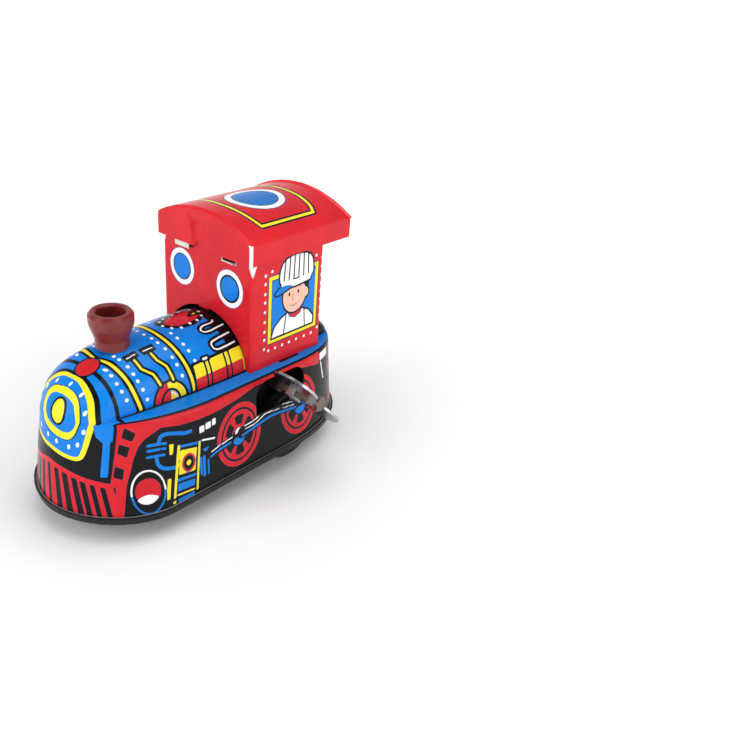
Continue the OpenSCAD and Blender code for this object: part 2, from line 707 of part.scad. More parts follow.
module front_axle() color("silver")
    bar(front_pos, -front_wheel_y - front_wheel_w - 0.3, front_wheel_y + front_wheel_w + 0.3, front_axle_r);
module front_wheel_left() color("black")
    wheel(front_pos, front_wheel_y, front_wheel_w, front_wheel_r, front_axle_r, 1);
module front_wheel_right() color("black")
    wheel(front_pos, front_wheel_y, front_wheel_w, front_wheel_r, front_axle_r, -1);

base_pan();
cab();
roof();
smokestack();
stack_push_nut();
motor_plate_left();
motor_plate_right();
motor_pillars();
motor_rivets();
mainspring();
front_axle_bracket();
bracket_rivets();
key();
winding_arbor();
ratchet_wheel();
great_wheel();
click_pin();
click_spring();
click();
second_arbor();
second_pinion();
second_gear();
rear_axle();
axle_pinion();
rear_wheel_left();
rear_wheel_right();
governor_arbor();
governor_pinion();
governor_flywheel();
front_axle();
front_wheel_left();
front_wheel_right();
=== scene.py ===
import math

import bmesh
import bpy
import numpy as np
from mathutils import Matrix, Vector


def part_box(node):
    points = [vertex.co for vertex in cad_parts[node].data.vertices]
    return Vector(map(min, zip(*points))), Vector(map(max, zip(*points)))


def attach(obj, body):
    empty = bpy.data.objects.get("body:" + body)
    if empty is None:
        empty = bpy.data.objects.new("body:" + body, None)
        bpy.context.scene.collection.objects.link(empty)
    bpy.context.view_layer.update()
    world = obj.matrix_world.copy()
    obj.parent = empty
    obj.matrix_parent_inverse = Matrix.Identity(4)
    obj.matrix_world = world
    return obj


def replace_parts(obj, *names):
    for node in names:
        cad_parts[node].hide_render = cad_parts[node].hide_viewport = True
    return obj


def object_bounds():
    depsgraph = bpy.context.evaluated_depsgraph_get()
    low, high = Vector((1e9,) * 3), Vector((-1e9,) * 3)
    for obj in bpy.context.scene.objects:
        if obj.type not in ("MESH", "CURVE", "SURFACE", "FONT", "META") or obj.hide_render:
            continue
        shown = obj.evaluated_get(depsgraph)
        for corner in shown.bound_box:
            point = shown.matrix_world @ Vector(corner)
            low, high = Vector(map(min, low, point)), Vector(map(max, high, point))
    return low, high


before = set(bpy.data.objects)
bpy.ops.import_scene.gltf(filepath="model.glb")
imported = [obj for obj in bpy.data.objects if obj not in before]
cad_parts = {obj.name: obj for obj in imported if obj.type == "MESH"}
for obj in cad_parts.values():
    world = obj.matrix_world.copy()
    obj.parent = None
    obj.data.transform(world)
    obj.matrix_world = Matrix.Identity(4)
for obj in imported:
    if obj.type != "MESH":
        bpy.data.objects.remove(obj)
CAD_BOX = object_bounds()
MM = 0.001


def cad(node):
    """Lowest and highest corner of a CAD node, in millimetres."""
    low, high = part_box(node)
    return np.array(low) / MM, np.array(high) / MM


# ================================================================ distances in a flat chart
# Each returns a signed distance in millimetres, negative inside.


def curve(points, closed=False, steps=6):
    """A smooth line through a few points."""
    p = np.array(points, float)
    if closed:
        p = np.concatenate([p[-1:], p, p[:2]])
    else:
        p = np.concatenate([2 * p[:1] - p[1:2], p, 2 * p[-1:] - p[-2:-1]])
    t = np.linspace(0, 1, steps, endpoint=False)[:, None]
    out = []
    for a, b, c, d in zip(p, p[1:], p[2:], p[3:]):
        square, cube = 2 * a - 5 * b + 4 * c - d, 3 * b - a - 3 * c + d
        out.append(0.5 * (2 * b + (c - a) * t + square * t**2 + cube * t**3))
    if not closed:
        out.append(p[-2:-1])
    return np.concatenate(out)


def nearest(u, v, points):
    """Distance to an open line."""
    best = np.full(u.shape, 1e9)
    for (ax, ay), (bx, by) in zip(points, points[1:]):
        dx, dy = bx - ax, by - ay
        s = np.clip(((u - ax) * dx + (v - ay) * dy) / max(dx * dx + dy * dy, 1e-9), 0, 1)
        best = np.minimum(best, np.hypot(u - ax - s * dx, v - ay - s * dy))
    return best


def stroke(u, v, points, width, smooth=True):
    path = curve(points) if smooth and len(points) > 2 else np.array(points, float)
    return nearest(u, v, path) - width / 2


def area(u, v, points, smooth=False):
    """Inside of a closed outline."""
    path = curve(points, True) if smooth else np.array(points, float)
    ring = np.concatenate([path, path[:1]])
    inside = np.zeros(u.shape, bool)
    for (ax, ay), (bx, by) in zip(ring, ring[1:]):
        if ay != by:
            inside ^= ((ay > v) != (by > v)) & (u < (bx - ax) * (v - ay) / (by - ay) + ax)
    d = nearest(u, v, ring)
    return np.where(inside, -d, d)


def oval(u, v, centre, radii, turn=0.0):
    c, s = math.cos(math.radians(turn)), math.sin(math.radians(turn))
    x, y = u - centre[0], v - centre[1]
    x, y = x * c + y * s, y * c - x * s
    k = np.hypot(x / radii[0], y / radii[1])
    g = np.hypot(x / radii[0] ** 2, y / radii[1] ** 2)
    return np.where(k > 1e-6, k * (k - 1) / np.maximum(g, 1e-6), -min(radii))


def block(u, v, low, high, corner=0.0):
    """Upright box with rounded corners."""
    cx, cy = (low[0] + high[0]) / 2, (low[1] + high[1]) / 2
    x = np.abs(u - cx) - abs(high[0] - low[0]) / 2 + corner
    y = np.abs(v - cy) - abs(high[1] - low[1]) / 2 + corner
    return np.hypot(np.maximum(x, 0), np.maximum(y, 0)) + np.minimum(np.maximum(x, y), 0) - corner


def between(d, inner, outer):
    """Band between two offsets of an outline."""
    return np.maximum(d - outer, inner - d)


# ================================================================ inks on a sheet
INKS = ("red", "yellow", "white", "black", "blue", "skin", "steel")
REACH = 2.0


class Print:
    """The inks of one printed sheet, as distances at its points. A later ink covers an earlier one."""

    def __init__(self, shape, base):
        self.field = {ink: np.full(shape, REACH) for ink in INKS}
        self.field[base] = np.full(shape, -REACH)
        self.region = np.full(shape, -REACH)

    def inside(self, region):
        self.region = region
        return self

    def lay(self, ink, *shapes):
        for shape in shapes:
            d = np.maximum(shape, self.region)
            for name, field in self.field.items():
                if name == ink:
                    np.minimum(field, d, out=field)
                else:
                    np.maximum(field, -d, out=field)

    def store(self, mesh):
        """Puts the distances on a mesh's points, three inks to a vector."""
        for first in range(0, len(INKS), 3):
            names = INKS[first : first + 3]
            data = np.zeros((len(mesh.vertices), 3), np.float32)
            for k, name in enumerate(names):
                data[:, k] = np.clip(self.field[name], -REACH, REACH).ravel()
            layer = mesh.attributes.new(f"inks_{first // 3}", "FLOAT_VECTOR", "POINT")
            layer.data.foreach_set("vector", data.ravel())


# ================================================================ finishes
def srgb(code):
    value = [int(code[i : i + 2], 16) / 255 for i in (0, 2, 4)]
    return tuple(c / 12.92 if c <= 0.04045 else ((c + 0.055) / 1.055) ** 2.4 for c in value)


PALETTE = {
    "red": srgb("CE1F29"), "yellow": srgb("F0DC28"), "white": srgb("F4F4F2"), "black": srgb("080B0D"),
    "blue": srgb("0A7AD6"), "skin": srgb("F3BDA4"), "steel": srgb("D8D8D6"),
}


class Finish:
    """A node material around one Principled shader."""

    def __init__(self, name, colour=(0.8, 0.8, 0.8), **sockets):
        self.material = bpy.data.materials.new(name)
        self.material.use_nodes = True
        self.tree = self.material.node_tree
        self.shader = self.tree.nodes["Principled BSDF"]
        self.shader.inputs["Base Color"].default_value = (*colour, 1)
        for key, value in sockets.items():
            self.shader.inputs[key.replace("_", " ").title().replace("Ior", "IOR")].default_value = value
        self.place = self.node("ShaderNodeTexCoord").outputs["Object"]

    def node(self, kind, values=(), **settings):
        made = self.tree.nodes.new(kind)
        for key, value in settings.items():
            setattr(made, key, value)
        for key, value in dict(values).items():
            if isinstance(value, bpy.types.NodeSocket):
                self.tree.links.new(value, made.inputs[key])
            else:
                made.inputs[key].default_value = value
        return made

    def noise(self, per_mm, detail=3.0, roughness=0.55, stretch=None):
        place = self.place
        if stretch:
            place = self.node("ShaderNodeMapping", {"Vector": place, "Scale": stretch}).outputs["Vector"]
        made = self.node(
            "ShaderNodeTexNoise",
            {"Vector": place, "Scale": per_mm / MM, "Detail": detail, "Roughness": roughness},
        )
        return made.outputs["Fac"]

    def ramp(self, value, low, high, out_low=0.0, out_high=1.0):
        made = self.node(
            "ShaderNodeMapRange",
            {"Value": value, "From Min": low, "From Max": high, "To Min": out_low, "To Max": out_high},
        )
        return made.outputs["Result"]

    def math(self, operation, a, b):
        return self.node("ShaderNodeMath", {0: a, 1: b}, operation=operation).outputs[0]

    def mix(self, factor, a, b):
        a, b = ((*c, 1) if isinstance(c, tuple) else c for c in (a, b))
        made = self.node("ShaderNodeMix", data_type="RGBA")
        for index, value in ((0, factor), (6, a), (7, b)):
            if isinstance(value, bpy.types.NodeSocket):
                self.tree.links.new(value, made.inputs[index])
            else:
                made.inputs[index].default_value = value
        return made.outputs[2]

    def feed(self, socket, value):
        self.tree.links.new(value, self.shader.inputs[socket])

    def bump(self, height, depth_mm, strength=1.0):
        values = {"Height": height, "Distance": depth_mm * MM, "Strength": strength}
        made = self.node("ShaderNodeBump", values)
        self.feed("Normal", made.outputs["Normal"])


def print_finish(name):
    """Lithographed tin: inks held by the sheet's own distances, a clear varnish, worn specks."""
    f = Finish(name, PALETTE["blue"], coat_weight=0.22, coat_roughness=0.05, specular_ior_level=0.06)
    colour = PALETTE["blue"]
    steel = None
    for first in range(0, len(INKS), 3):
        stored = f.node("ShaderNodeAttribute", attribute_name=f"inks_{first // 3}")
        split = f.node("ShaderNodeSeparateXYZ", {"Vector": stored.outputs["Vector"]})
        for k, ink in enumerate(INKS[first : first + 3]):
            if ink == "blue":
                continue
            share = f.ramp(split.outputs[k], EDGE_SOFT, -EDGE_SOFT)
            colour = f.mix(share, colour, PALETTE[ink])
            steel = share if ink == "steel" else steel
    cloud = f.ramp(f.noise(0.09, 2.0), 0.3, 0.7, 0.9, 1.06)
    grain = f.ramp(f.noise(3.2, 2.0), 0.3, 0.7, 0.96, 1.04)
    shade = f.math("MULTIPLY", cloud, grain)
    toned = f.node("ShaderNodeVectorMath", {0: colour, 1: shade}, operation="MULTIPLY").outputs[0]
    speck = f.ramp(f.noise(1.3, 4.0, 0.7), 0.765, 0.785)
    scratch = f.ramp(f.noise(0.8, 3.0, 0.6, stretch=(0.12, 0.12, 2.4)), 0.79, 0.80)
    worn = f.math("MAXIMUM", speck, scratch)
    f.feed("Base Color", f.mix(worn, toned, srgb("B9B4A8")))
    f.feed("Metallic", f.math("MAXIMUM", steel, worn))
    f.feed("Roughness", f.ramp(f.noise(0.35, 3.0), 0.3, 0.7, 0.24, 0.36))
    f.bump(f.noise(0.22, 2.0), 0.05, 0.5)
    return f.material


def metal_finish(name, tone, dark, rough, brush, blotch=0.12, relief=0.02):
    f = Finish(name, tone, metallic=1.0)
    cloud = f.ramp(f.noise(blotch, 3.0), 0.35, 0.7)
    line = f.ramp(f.noise(1.1, 3.0, 0.6, stretch=brush), 0.45, 0.75)
    f.feed("Base Color", f.mix(f.math("MULTIPLY", cloud, 0.75), tone, dark))
    worn = f.ramp(cloud, 0, 1, rough, rough + 0.14)
    f.feed("Roughness", f.math("ADD", worn, f.math("MULTIPLY", line, 0.12)))
    f.bump(line, relief, 0.35)
    return f.material


def paint_finish(name, tone, worn_tone, rough, coat, chips, wave, metallic_chips=True):
    """Brushed or dipped paint with a soft surface, dust and small chips."""
    f = Finish(name, tone, coat_weight=coat, coat_roughness=0.12, specular_ior_level=0.25)
    cloud = f.ramp(f.noise(0.25, 3.0), 0.3, 0.75)
    lighter = tuple(min(1.0, c * 1.5 + 0.006) for c in tone)
    chip = f.ramp(f.noise(0.75, 4.0, 0.65), chips, chips + 0.015)
    f.feed("Base Color", f.mix(chip, f.mix(cloud, tone, lighter), worn_tone))
    if metallic_chips:
        f.feed("Metallic", chip)
    f.feed("Roughness", f.ramp(f.noise(0.6, 3.0), 0.3, 0.7, rough - 0.06, rough + 0.1))
    f.bump(f.noise(wave, 2.0), 0.12, 0.55)
    return f.material


EDGE_SOFT = 0.035
TIN_PRINT = print_finish("tin_print")
# Back of every printed sheet: a dark grey, darker than bare tin, as painted shade for the hollow inside of
# the body, cab and roof seen through the key's opening and round the cab's arches.
PAINTED_SHADE_INSIDE = metal_finish("painted_shade_inside", srgb("5E5A53"), srgb("3F3B35"), 0.45, (1, 1, 0.1))
TIN_EDGE = metal_finish("tin_edge", srgb("8E8C87"), srgb("6B6862"), 0.4, (1, 1, 0.2))
TIN_BARE = metal_finish("tin_bare", srgb("D9D8D4"), srgb("A9A59C"), 0.26, (1, 1, 0.2))


# ================================================================ meshes
def link(name, mesh, body):
    piece = bpy.data.objects.new(name, mesh)
    bpy.context.scene.collection.objects.link(piece)
    if body:
        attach(piece, body)
    return piece


def make_mesh(name, points, faces, smooth=True):
    mesh = bpy.data.meshes.new(name)
    corners = np.asarray(points, float).reshape(-1, 3) * MM
    mesh.from_pydata(corners.tolist(), [], [list(map(int, face)) for face in faces])
    mesh.update()
    mesh.polygons.foreach_set("use_smooth", [smooth] * len(mesh.polygons))
    return mesh


def grid_faces(rows, cols, flip=False, keep=None):
    r, c = np.meshgrid(np.arange(rows - 1), np.arange(cols - 1), indexing="ij")
    a = r * cols + c
    quads = np.stack([a, a + 1, a + 1 + cols, a + cols], -1)
    quads = quads[keep] if keep is not None else quads.reshape(-1, 4)
    return quads[:, ::-1] if flip else quads


def clean(mesh, gap=0.002):
    """Merges points that fall on each other and drops loose ones."""
    bm = bmesh.new()
    bm.from_mesh(mesh)
    bmesh.ops.remove_doubles(bm, verts=bm.verts, dist=gap * MM)
    bmesh.ops.dissolve_degenerate(bm, edges=bm.edges, dist=gap * MM / 4)
    bmesh.ops.delete(bm, geom=[v for v in bm.verts if not v.link_faces], context="VERTS")
    bm.to_mesh(mesh)
    bm.free()
    mesh.polygons.foreach_set("use_smooth", [True] * len(mesh.polygons))
    mesh.update()


def face_outward(mesh):
    bm = bmesh.new()
    bm.from_mesh(mesh)
    bmesh.ops.recalc_face_normals(bm, faces=bm.faces)
    bm.to_mesh(mesh)
    bm.free()


def blocks(name, spans, bevel, finish):
    """Small blocks with eased edges, each from its lowest to its highest corner, in one mesh."""
    bm = bmesh.new()
    for low, high in spans:
        made = bmesh.ops.create_cube(bm, size=1)
        size = (np.array(high) - low) * MM
        middle = (np.array(high) + low) / 2 * MM
        matrix = Matrix.Translation(Vector(middle)) @ Matrix.Diagonal((*size, 1))
        bmesh.ops.transform(bm, matrix=matrix, verts=made["verts"])
    bmesh.ops.bevel(bm, geom=list(bm.edges), offset=bevel * MM, segments=2, affect="EDGES")
    mesh = bpy.data.meshes.new(name)
    bm.to_mesh(mesh)
    bm.free()
    mesh.materials.append(finish)
    return mesh


def middles(d):
    """Mean of a grid's values over each of its faces."""
    return (d[:-1, :-1] + d[1:, :-1] + d[:-1, 1:] + d[1:, 1:]) / 4


def beside_cut(keep):
    """Points of a grid that touch a face which is left out."""
    rows, cols = keep.shape
    found = np.zeros((rows + 1, cols + 1), bool)
    for i in (0, 1):
        for j in (0, 1):
            found[i : rows + i, j : cols + j] |= ~keep
    return found


def slopes(outline, a, b, step=0.01):
    """How fast a distance grows along each of its two coordinates."""
    along_a = (outline(a + step, b) - outline(a - step, b)) / (2 * step)
    along_b = (outline(a, b + step) - outline(a, b - step)) / (2 * step)
    return along_a, along_b


def thicken(piece, depth):
    """Makes a sheet solid inwards: its face, its back and its cut edges, each with its own finish.

    Where the sheet is one half of a symmetrical piece, it stays open at the middle and meets the
    other half with the same normals, so that no line shows between them.
    """
    sheet = piece.data
    count = len(sheet.vertices)
    points, normals = np.zeros((2, count * 3))
    sheet.vertices.foreach_get("co", points)
    sheet.vertex_normals.foreach_get("vector", normals)
    points, normals = points.reshape(-1, 3), normals.reshape(-1, 3)
    middle = np.abs(points[:, 1]) < 1e-7
    normals[middle, 1] = 0
    normals /= np.linalg.norm(normals, axis=1)[:, None]
    front = [tuple(face.vertices) for face in sheet.polygons]
    back = [tuple(v + count for v in face[::-1]) for face in front]
    sides = {(a, b) for face in front for a, b in zip(face, face[1:] + face[:1])}
    open_sides = sorted((a, b) for a, b in sides if (b, a) not in sides and not (middle[a] and middle[b]))
    rim = [(b, a, a + count, b + count) for a, b in open_sides]
    solid = bpy.data.meshes.new(sheet.name + "_solid")
    both_sides = np.concatenate([points, points - normals * depth * MM])
    solid.from_pydata(both_sides.tolist(), [], front + back + rim)
    solid.update()
    finish = [0] * len(front) + [1] * len(back) + [2] * len(rim)
    solid.polygons.foreach_set("material_index", finish)
    solid.polygons.foreach_set("use_smooth", [True] * len(finish))
    for material in sheet.materials:
        solid.materials.append(material)
    for first in range(0, len(INKS), 3):
        name = f"inks_{first // 3}"
        values = np.zeros(count * 3, np.float32)
        sheet.attributes[name].data.foreach_get("vector", values)
        layer = solid.attributes.new(name, "FLOAT_VECTOR", "POINT")
        layer.data.foreach_set("vector", np.concatenate([values, 0 * values]))
    corners = np.zeros(len(solid.loops), int)
    solid.loops.foreach_get("vertex_index", corners)
    directions = np.concatenate([normals, -normals])[corners]
    flat = np.zeros(len(finish) * 3)
    solid.polygons.foreach_get("normal", flat)
    rim_normals = flat.reshape(-1, 3)[len(finish) - len(rim) :]
    directions[len(corners) - 4 * len(rim) :] = np.repeat(rim_normals, 4, axis=0)
    solid.normals_split_custom_set(directions.tolist())
    piece.data = solid
    bpy.data.meshes.remove(sheet)
    return piece


def sweep(name, path, profile, body):
    """Carries a small closed profile (out, up) round a level ring of points and outward normals."""
    rings = []
    for (x, y, z), (nx, ny) in path:
        rings.append([(x + nx * o, y + ny * o, z + u) for o, u in profile])
    pts = np.array(rings)
    n, m = pts.shape[:2]
    faces = []
    for i in range(n):
        for j in range(m):
            k, l = (i + 1) % n, (j + 1) % m
            faces.append((i * m + j, k * m + j, k * m + l, i * m + l))
    mesh = make_mesh(name, pts, faces)
    face_outward(mesh)
    return link(name, mesh, body)


# ================================================================ body surface
SHELL_LOW, SHELL_HIGH = cad("body_shell")
HALF_LEN, HALF_W, FOOT_Z = SHELL_HIGH[0], SHELL_HIGH[1], SHELL_LOW[2]
NOSE_LEN, NOSE_SQUARE = 18.6, 1.88
TAIL_LEN, TAIL_SQUARE = 31.0, 2.32
LEDGE_Z = 24.5
BOARD_HALF, BOARD_NOSE, BOARD_TAIL = 18.9, 42.1, 39.1
BOARD_FROM, BOARD_SQUARE = (11.2, 16.0), (1.84, 2.47)
WALL_BOW = (1.02, 0.2)
EDGE_BEND, EDGE_TIP, EDGE_REACH = 1.4, 0.15, 36.0
CREST_RISE, CREST_X, CREST_DROP, CREST_SPAN = 12.05, 9.6, 0.127, 30.0
WAIST_HALF, WAIST_X, WAIST_DROP, WAIST_SPAN, WAIST_END = 13.6, -2.7, 0.146, 32.5, 33.0
DOME_FROM, DOME_SQUARE = (25.3, 8.6), (1.7, 1.8)
SECTION_SQUARE, CAP_SHARP = 1.87, 14
SHEET_T = 0.45


def rounded(u, n):
    return (1 - np.clip(u, 0, None) ** n).clip(0) ** (1 / n)


def foot_half(steps):
    """Half of the foot's plan, from the nose's tip to the tail's, at even spacing."""
    a = np.linspace(0, math.pi / 2, 400)
    front = np.stack([
        HALF_LEN - NOSE_LEN + NOSE_LEN * np.cos(a).clip(0) ** (2 / NOSE_SQUARE),
        HALF_W * np.sin(a) ** (2 / NOSE_SQUARE),
    ], 1)
    rear = np.stack([
        TAIL_LEN - HALF_LEN - TAIL_LEN * np.cos(a).clip(0) ** (2 / TAIL_SQUARE),
        HALF_W * np.sin(a) ** (2 / TAIL_SQUARE),
    ], 1)[::-1]
    plan = np.concatenate([front, rear])
    s = np.concatenate([[0], np.cumsum(np.hypot(*np.diff(plan, axis=0).T))])
    even = np.linspace(0, s[-1], steps + 1)
    return np.stack([np.interp(even, s, plan[:, 0]), np.interp(even, s, plan[:, 1])], 1), even


def board(x, t):
    return (
        (BOARD_HALF - t)
        * rounded((x - BOARD_FROM[0]) / (BOARD_NOSE - t - BOARD_FROM[0]), BOARD_SQUARE[0])
        * rounded((-x - BOARD_FROM[1]) / (BOARD_TAIL - t - BOARD_FROM[1]), BOARD_SQUARE[1])
    )


def bend(x):
    return np.maximum(EDGE_TIP, EDGE_BEND * (1 - (np.abs(x) / EDGE_REACH) ** 4))


def wall_row(plan, z, a):
    """One level of the wall, leaning in from the foot to the running board and bent over by a."""
    turn = 1 - math.cos(a)
    tip = EDGE_TIP * turn
    x = plan[:, 0] * (np.where(plan[:, 0] > 0, BOARD_NOSE, BOARD_TAIL) - tip) / HALF_LEN
    y = board(x, tip) * (1 - bend(x) * turn / BOARD_HALF)
    f = ((z - FOOT_Z) / (LEDGE_Z - FOOT_Z)) ** (WALL_BOW[0] + WALL_BOW[1] * plan[:, 0] / HALF_LEN)
    return np.stack([plan[:, 0] * (1 - f) + x * f, plan[:, 1] * (1 - f) + y * f, np.full(len(plan), z)], 1)


def boiler_row(plan, a):
    """One level of the boiler, a radians up from the running board, its ends drawn in to domes."""
    edge = wall_row(plan, LEDGE_Z, math.pi / 2)
    s = math.sin(a)
    x = edge[:, 0]
    x = np.where(x > DOME_FROM[0], DOME_FROM[0] + (x - DOME_FROM[0]) * rounded(s, DOME_SQUARE[0]), x)
    x = np.where(x < -DOME_FROM[1], -DOME_FROM[1] + (x + DOME_FROM[1]) * rounded(s, DOME_SQUARE[1]), x)
    at = edge[:, 0]
    cap = WAIST_HALF * (1 - WAIST_DROP * ((np.clip(at, -WAIST_END, WAIST_END) - WAIST_X) / WAIST_SPAN) ** 2)
    y = np.maximum(edge[:, 1], 1e-6)
    y = y * cap / (y**CAP_SHARP + cap**CAP_SHARP) ** (1 / CAP_SHARP)
    rise = CREST_RISE * (1 - CREST_DROP * ((at - CREST_X) / CREST_SPAN) ** 2)
    return np.stack([x, y * max(0.0, 1 - s * s) ** (1 / SECTION_SQUARE), LEDGE_Z + rise * s], 1)


class Shell:
    """Grid of the left half of the drawn body, with the lengths that the artwork is laid out in."""

    def __init__(self, columns, rows):
        wall, fillet, ledge, boiler = rows
        plan, self.along = foot_half(columns)
        levels = []
        for z in np.linspace(FOOT_Z, LEDGE_Z - EDGE_BEND, wall + 1):
            levels.append(wall_row(plan, z, 0.0))
        for a in np.linspace(0, math.pi / 2, fillet + 1)[1:]:
            levels.append(wall_row(plan, LEDGE_Z - EDGE_BEND * (1 - math.sin(a)), a))
        self.edge = len(levels) - 1
        crease = boiler_row(plan, 0.0)
        for f in np.linspace(0, 1, ledge + 1)[1:]:
            levels.append(levels[self.edge] * (1 - f) + crease * f)
        self.crease = len(levels) - 1
        turn = np.linspace(0, math.pi / 2, boiler + 1)[1:]
        for a in turn:
            levels.append(boiler_row(plan, a))
        self.grid = np.array(levels)
        # girth up from the crease, on a plain section
        a = np.linspace(0, math.pi / 2, 2001)
        section = np.stack([WAIST_HALF * (1 - np.sin(a) ** 2) ** (1 / SECTION_SQUARE), 12.0 * np.sin(a)], 1)
        length = np.concatenate([[0], np.cumsum(np.hypot(*np.diff(section, axis=0).T))])
        self.girth = length[-1]
        up = np.zeros(len(levels))
        up[self.crease + 1 :] = np.interp(turn, a, length)
        shape = self.grid.shape[:2]
        self.x, self.y, self.z = np.moveaxis(self.grid, 2, 0)
        self.s = np.broadcast_to(self.along, shape)
        self.t = np.broadcast_to(up[:, None], shape)
        # length up the nose's centreline, level by level
        step = np.linalg.norm(np.diff(self.grid[:, 0], axis=0), axis=1)
        self.v = np.broadcast_to(np.concatenate([[0], np.cumsum(step)])[:, None], shape)
        # length up the middle of the side, level by level, from the crease
        mid = shape[1] // 2
        step = np.linalg.norm(np.diff(self.grid[:, mid], axis=0), axis=1)
        level = np.concatenate([[0], np.cumsum(step)])
        self.up = np.broadcast_to((level - level[self.crease])[:, None], shape)
        self.ledge_w = level[self.crease] - level[self.edge]


# ================================================================ artwork of the body
# The side is laid out in length along the foot from the nose's tip and height; the nose in
# width and length up its middle; the boiler in length along the body and girth from the crease.
SEAM_X = 32.3
CATCHER = [(0, 14.4), (5, 13.3), (10.4, 11.8), (15.6, 10.8)]
CATCHER_GAPS = [(1.7, 3.2), (4.2, 5.8), (6.8, 8.3), (8.9, 10.3), (11.2, 12.4), (13.5, 14.7)]
RING_OUT = [
    (0.1, 32.8), (2.5, 32.4), (4.8, 30.8), (7.2, 28.1), (8.6, 25.5), (9.4, 22.2), (9.2, 19.3), (8.8, 16.4),
    (8.1, 14), (6.6, 13.2), (3.6, 13.7), (0.7, 14.6), (-2.2, 15.2), (-5.2, 16.2), (-6.9, 17.6), (-7.7, 20.5),
    (-7.6, 24), (-6.6, 27.4), (-4.9, 30.2), (-2.5, 32.2),
]
RING_MID = [
    (0.85, 29.6), (3.6, 28.7), (5.7, 26.4), (6.9, 23.1), (6.6, 20.2), (5.7, 18.4), (4.5, 18), (2.5, 18.4),
    (0.1, 19.6), (-1.65, 21.35), (-2.8, 24), (-3.5, 26.6), (-2.2, 28.7),
]
RING_IN = [
    (0.7, 27.9), (2.8, 27.5), (4.8, 26.1), (6, 23.7), (6.3, 21.35), (5.4, 19.9), (3.9, 19.7), (1.9, 20.5),
    (-0.5, 22.2), (-1.65, 24.3), (-2, 26.1), (-1.06, 27.5),
]
NOSE_DOTS = [
    (1.3, 30.6), (5.1, 28.5), (7.5, 24.4), (7.9, 20.2), (7, 17.1), (5.3, 16.35), (2.4, 17), (-0.1, 17.8),
    (-3.4, 18.6), (-5.6, 20), (-5.9, 23.4), (-5.3, 26.6), (-3, 29.5),
]


def draw_nose(ink, g, hand):
    """The ringed lamp, with the blue field round it and the black one below."""
    y, v = g.y * hand, g.v
    sky = area(y, v, [
        (-30, 48), (-30, 18.4), (-10.5, 17.9), (-9.7, 19.2), (-9.0, 20.6),
        (9.3, 20.6), (10.0, 19.2), (10.8, 17.9), (30, 18), (30, 48),
    ])
    ink.lay("black", np.full(y.shape, -REACH))
    ink.lay("blue", sky)
    rim = area(y, v, RING_OUT, True)
    ink.lay("black", rim - 0.7)
    ink.lay("yellow", rim)
    ink.lay("blue", rim + 0.95)
    ink.lay("white", *[oval(y, v, p, (0.32, 0.62), 0) for p in NOSE_DOTS])
    middle = area(y, v, RING_MID, True)
    ink.lay("black", middle - 0.25)
    ink.lay("yellow", middle)
    ink.lay("blue", area(y, v, RING_IN, True))
    eye = oval(y, v, (2.2, 24.15), (1.4, 2.75), 12.5)
    ink.lay("black", eye - 0.5)
    ink.lay("yellow", eye)


def draw_catcher(ink, g, hand):
    """Red bars fanned round the foot of the nose."""
    s = np.abs(g.s * hand + 0.45) - 0.45
    z = g.z
    top = np.interp(s, *np.array(CATCHER).T)
    ink.lay("red", np.maximum(z - top, s - 16.4))
    lean = s + (z - 9) * 0.12 * np.clip(s / 8, 0, 1)
    under = np.maximum(z - top + 1.25, s - 16.0)
    ink.lay("black", np.maximum(s - 0.1, under))
    for low, high in CATCHER_GAPS:
        ink.lay("black", np.maximum(between(lean, low, high), under))


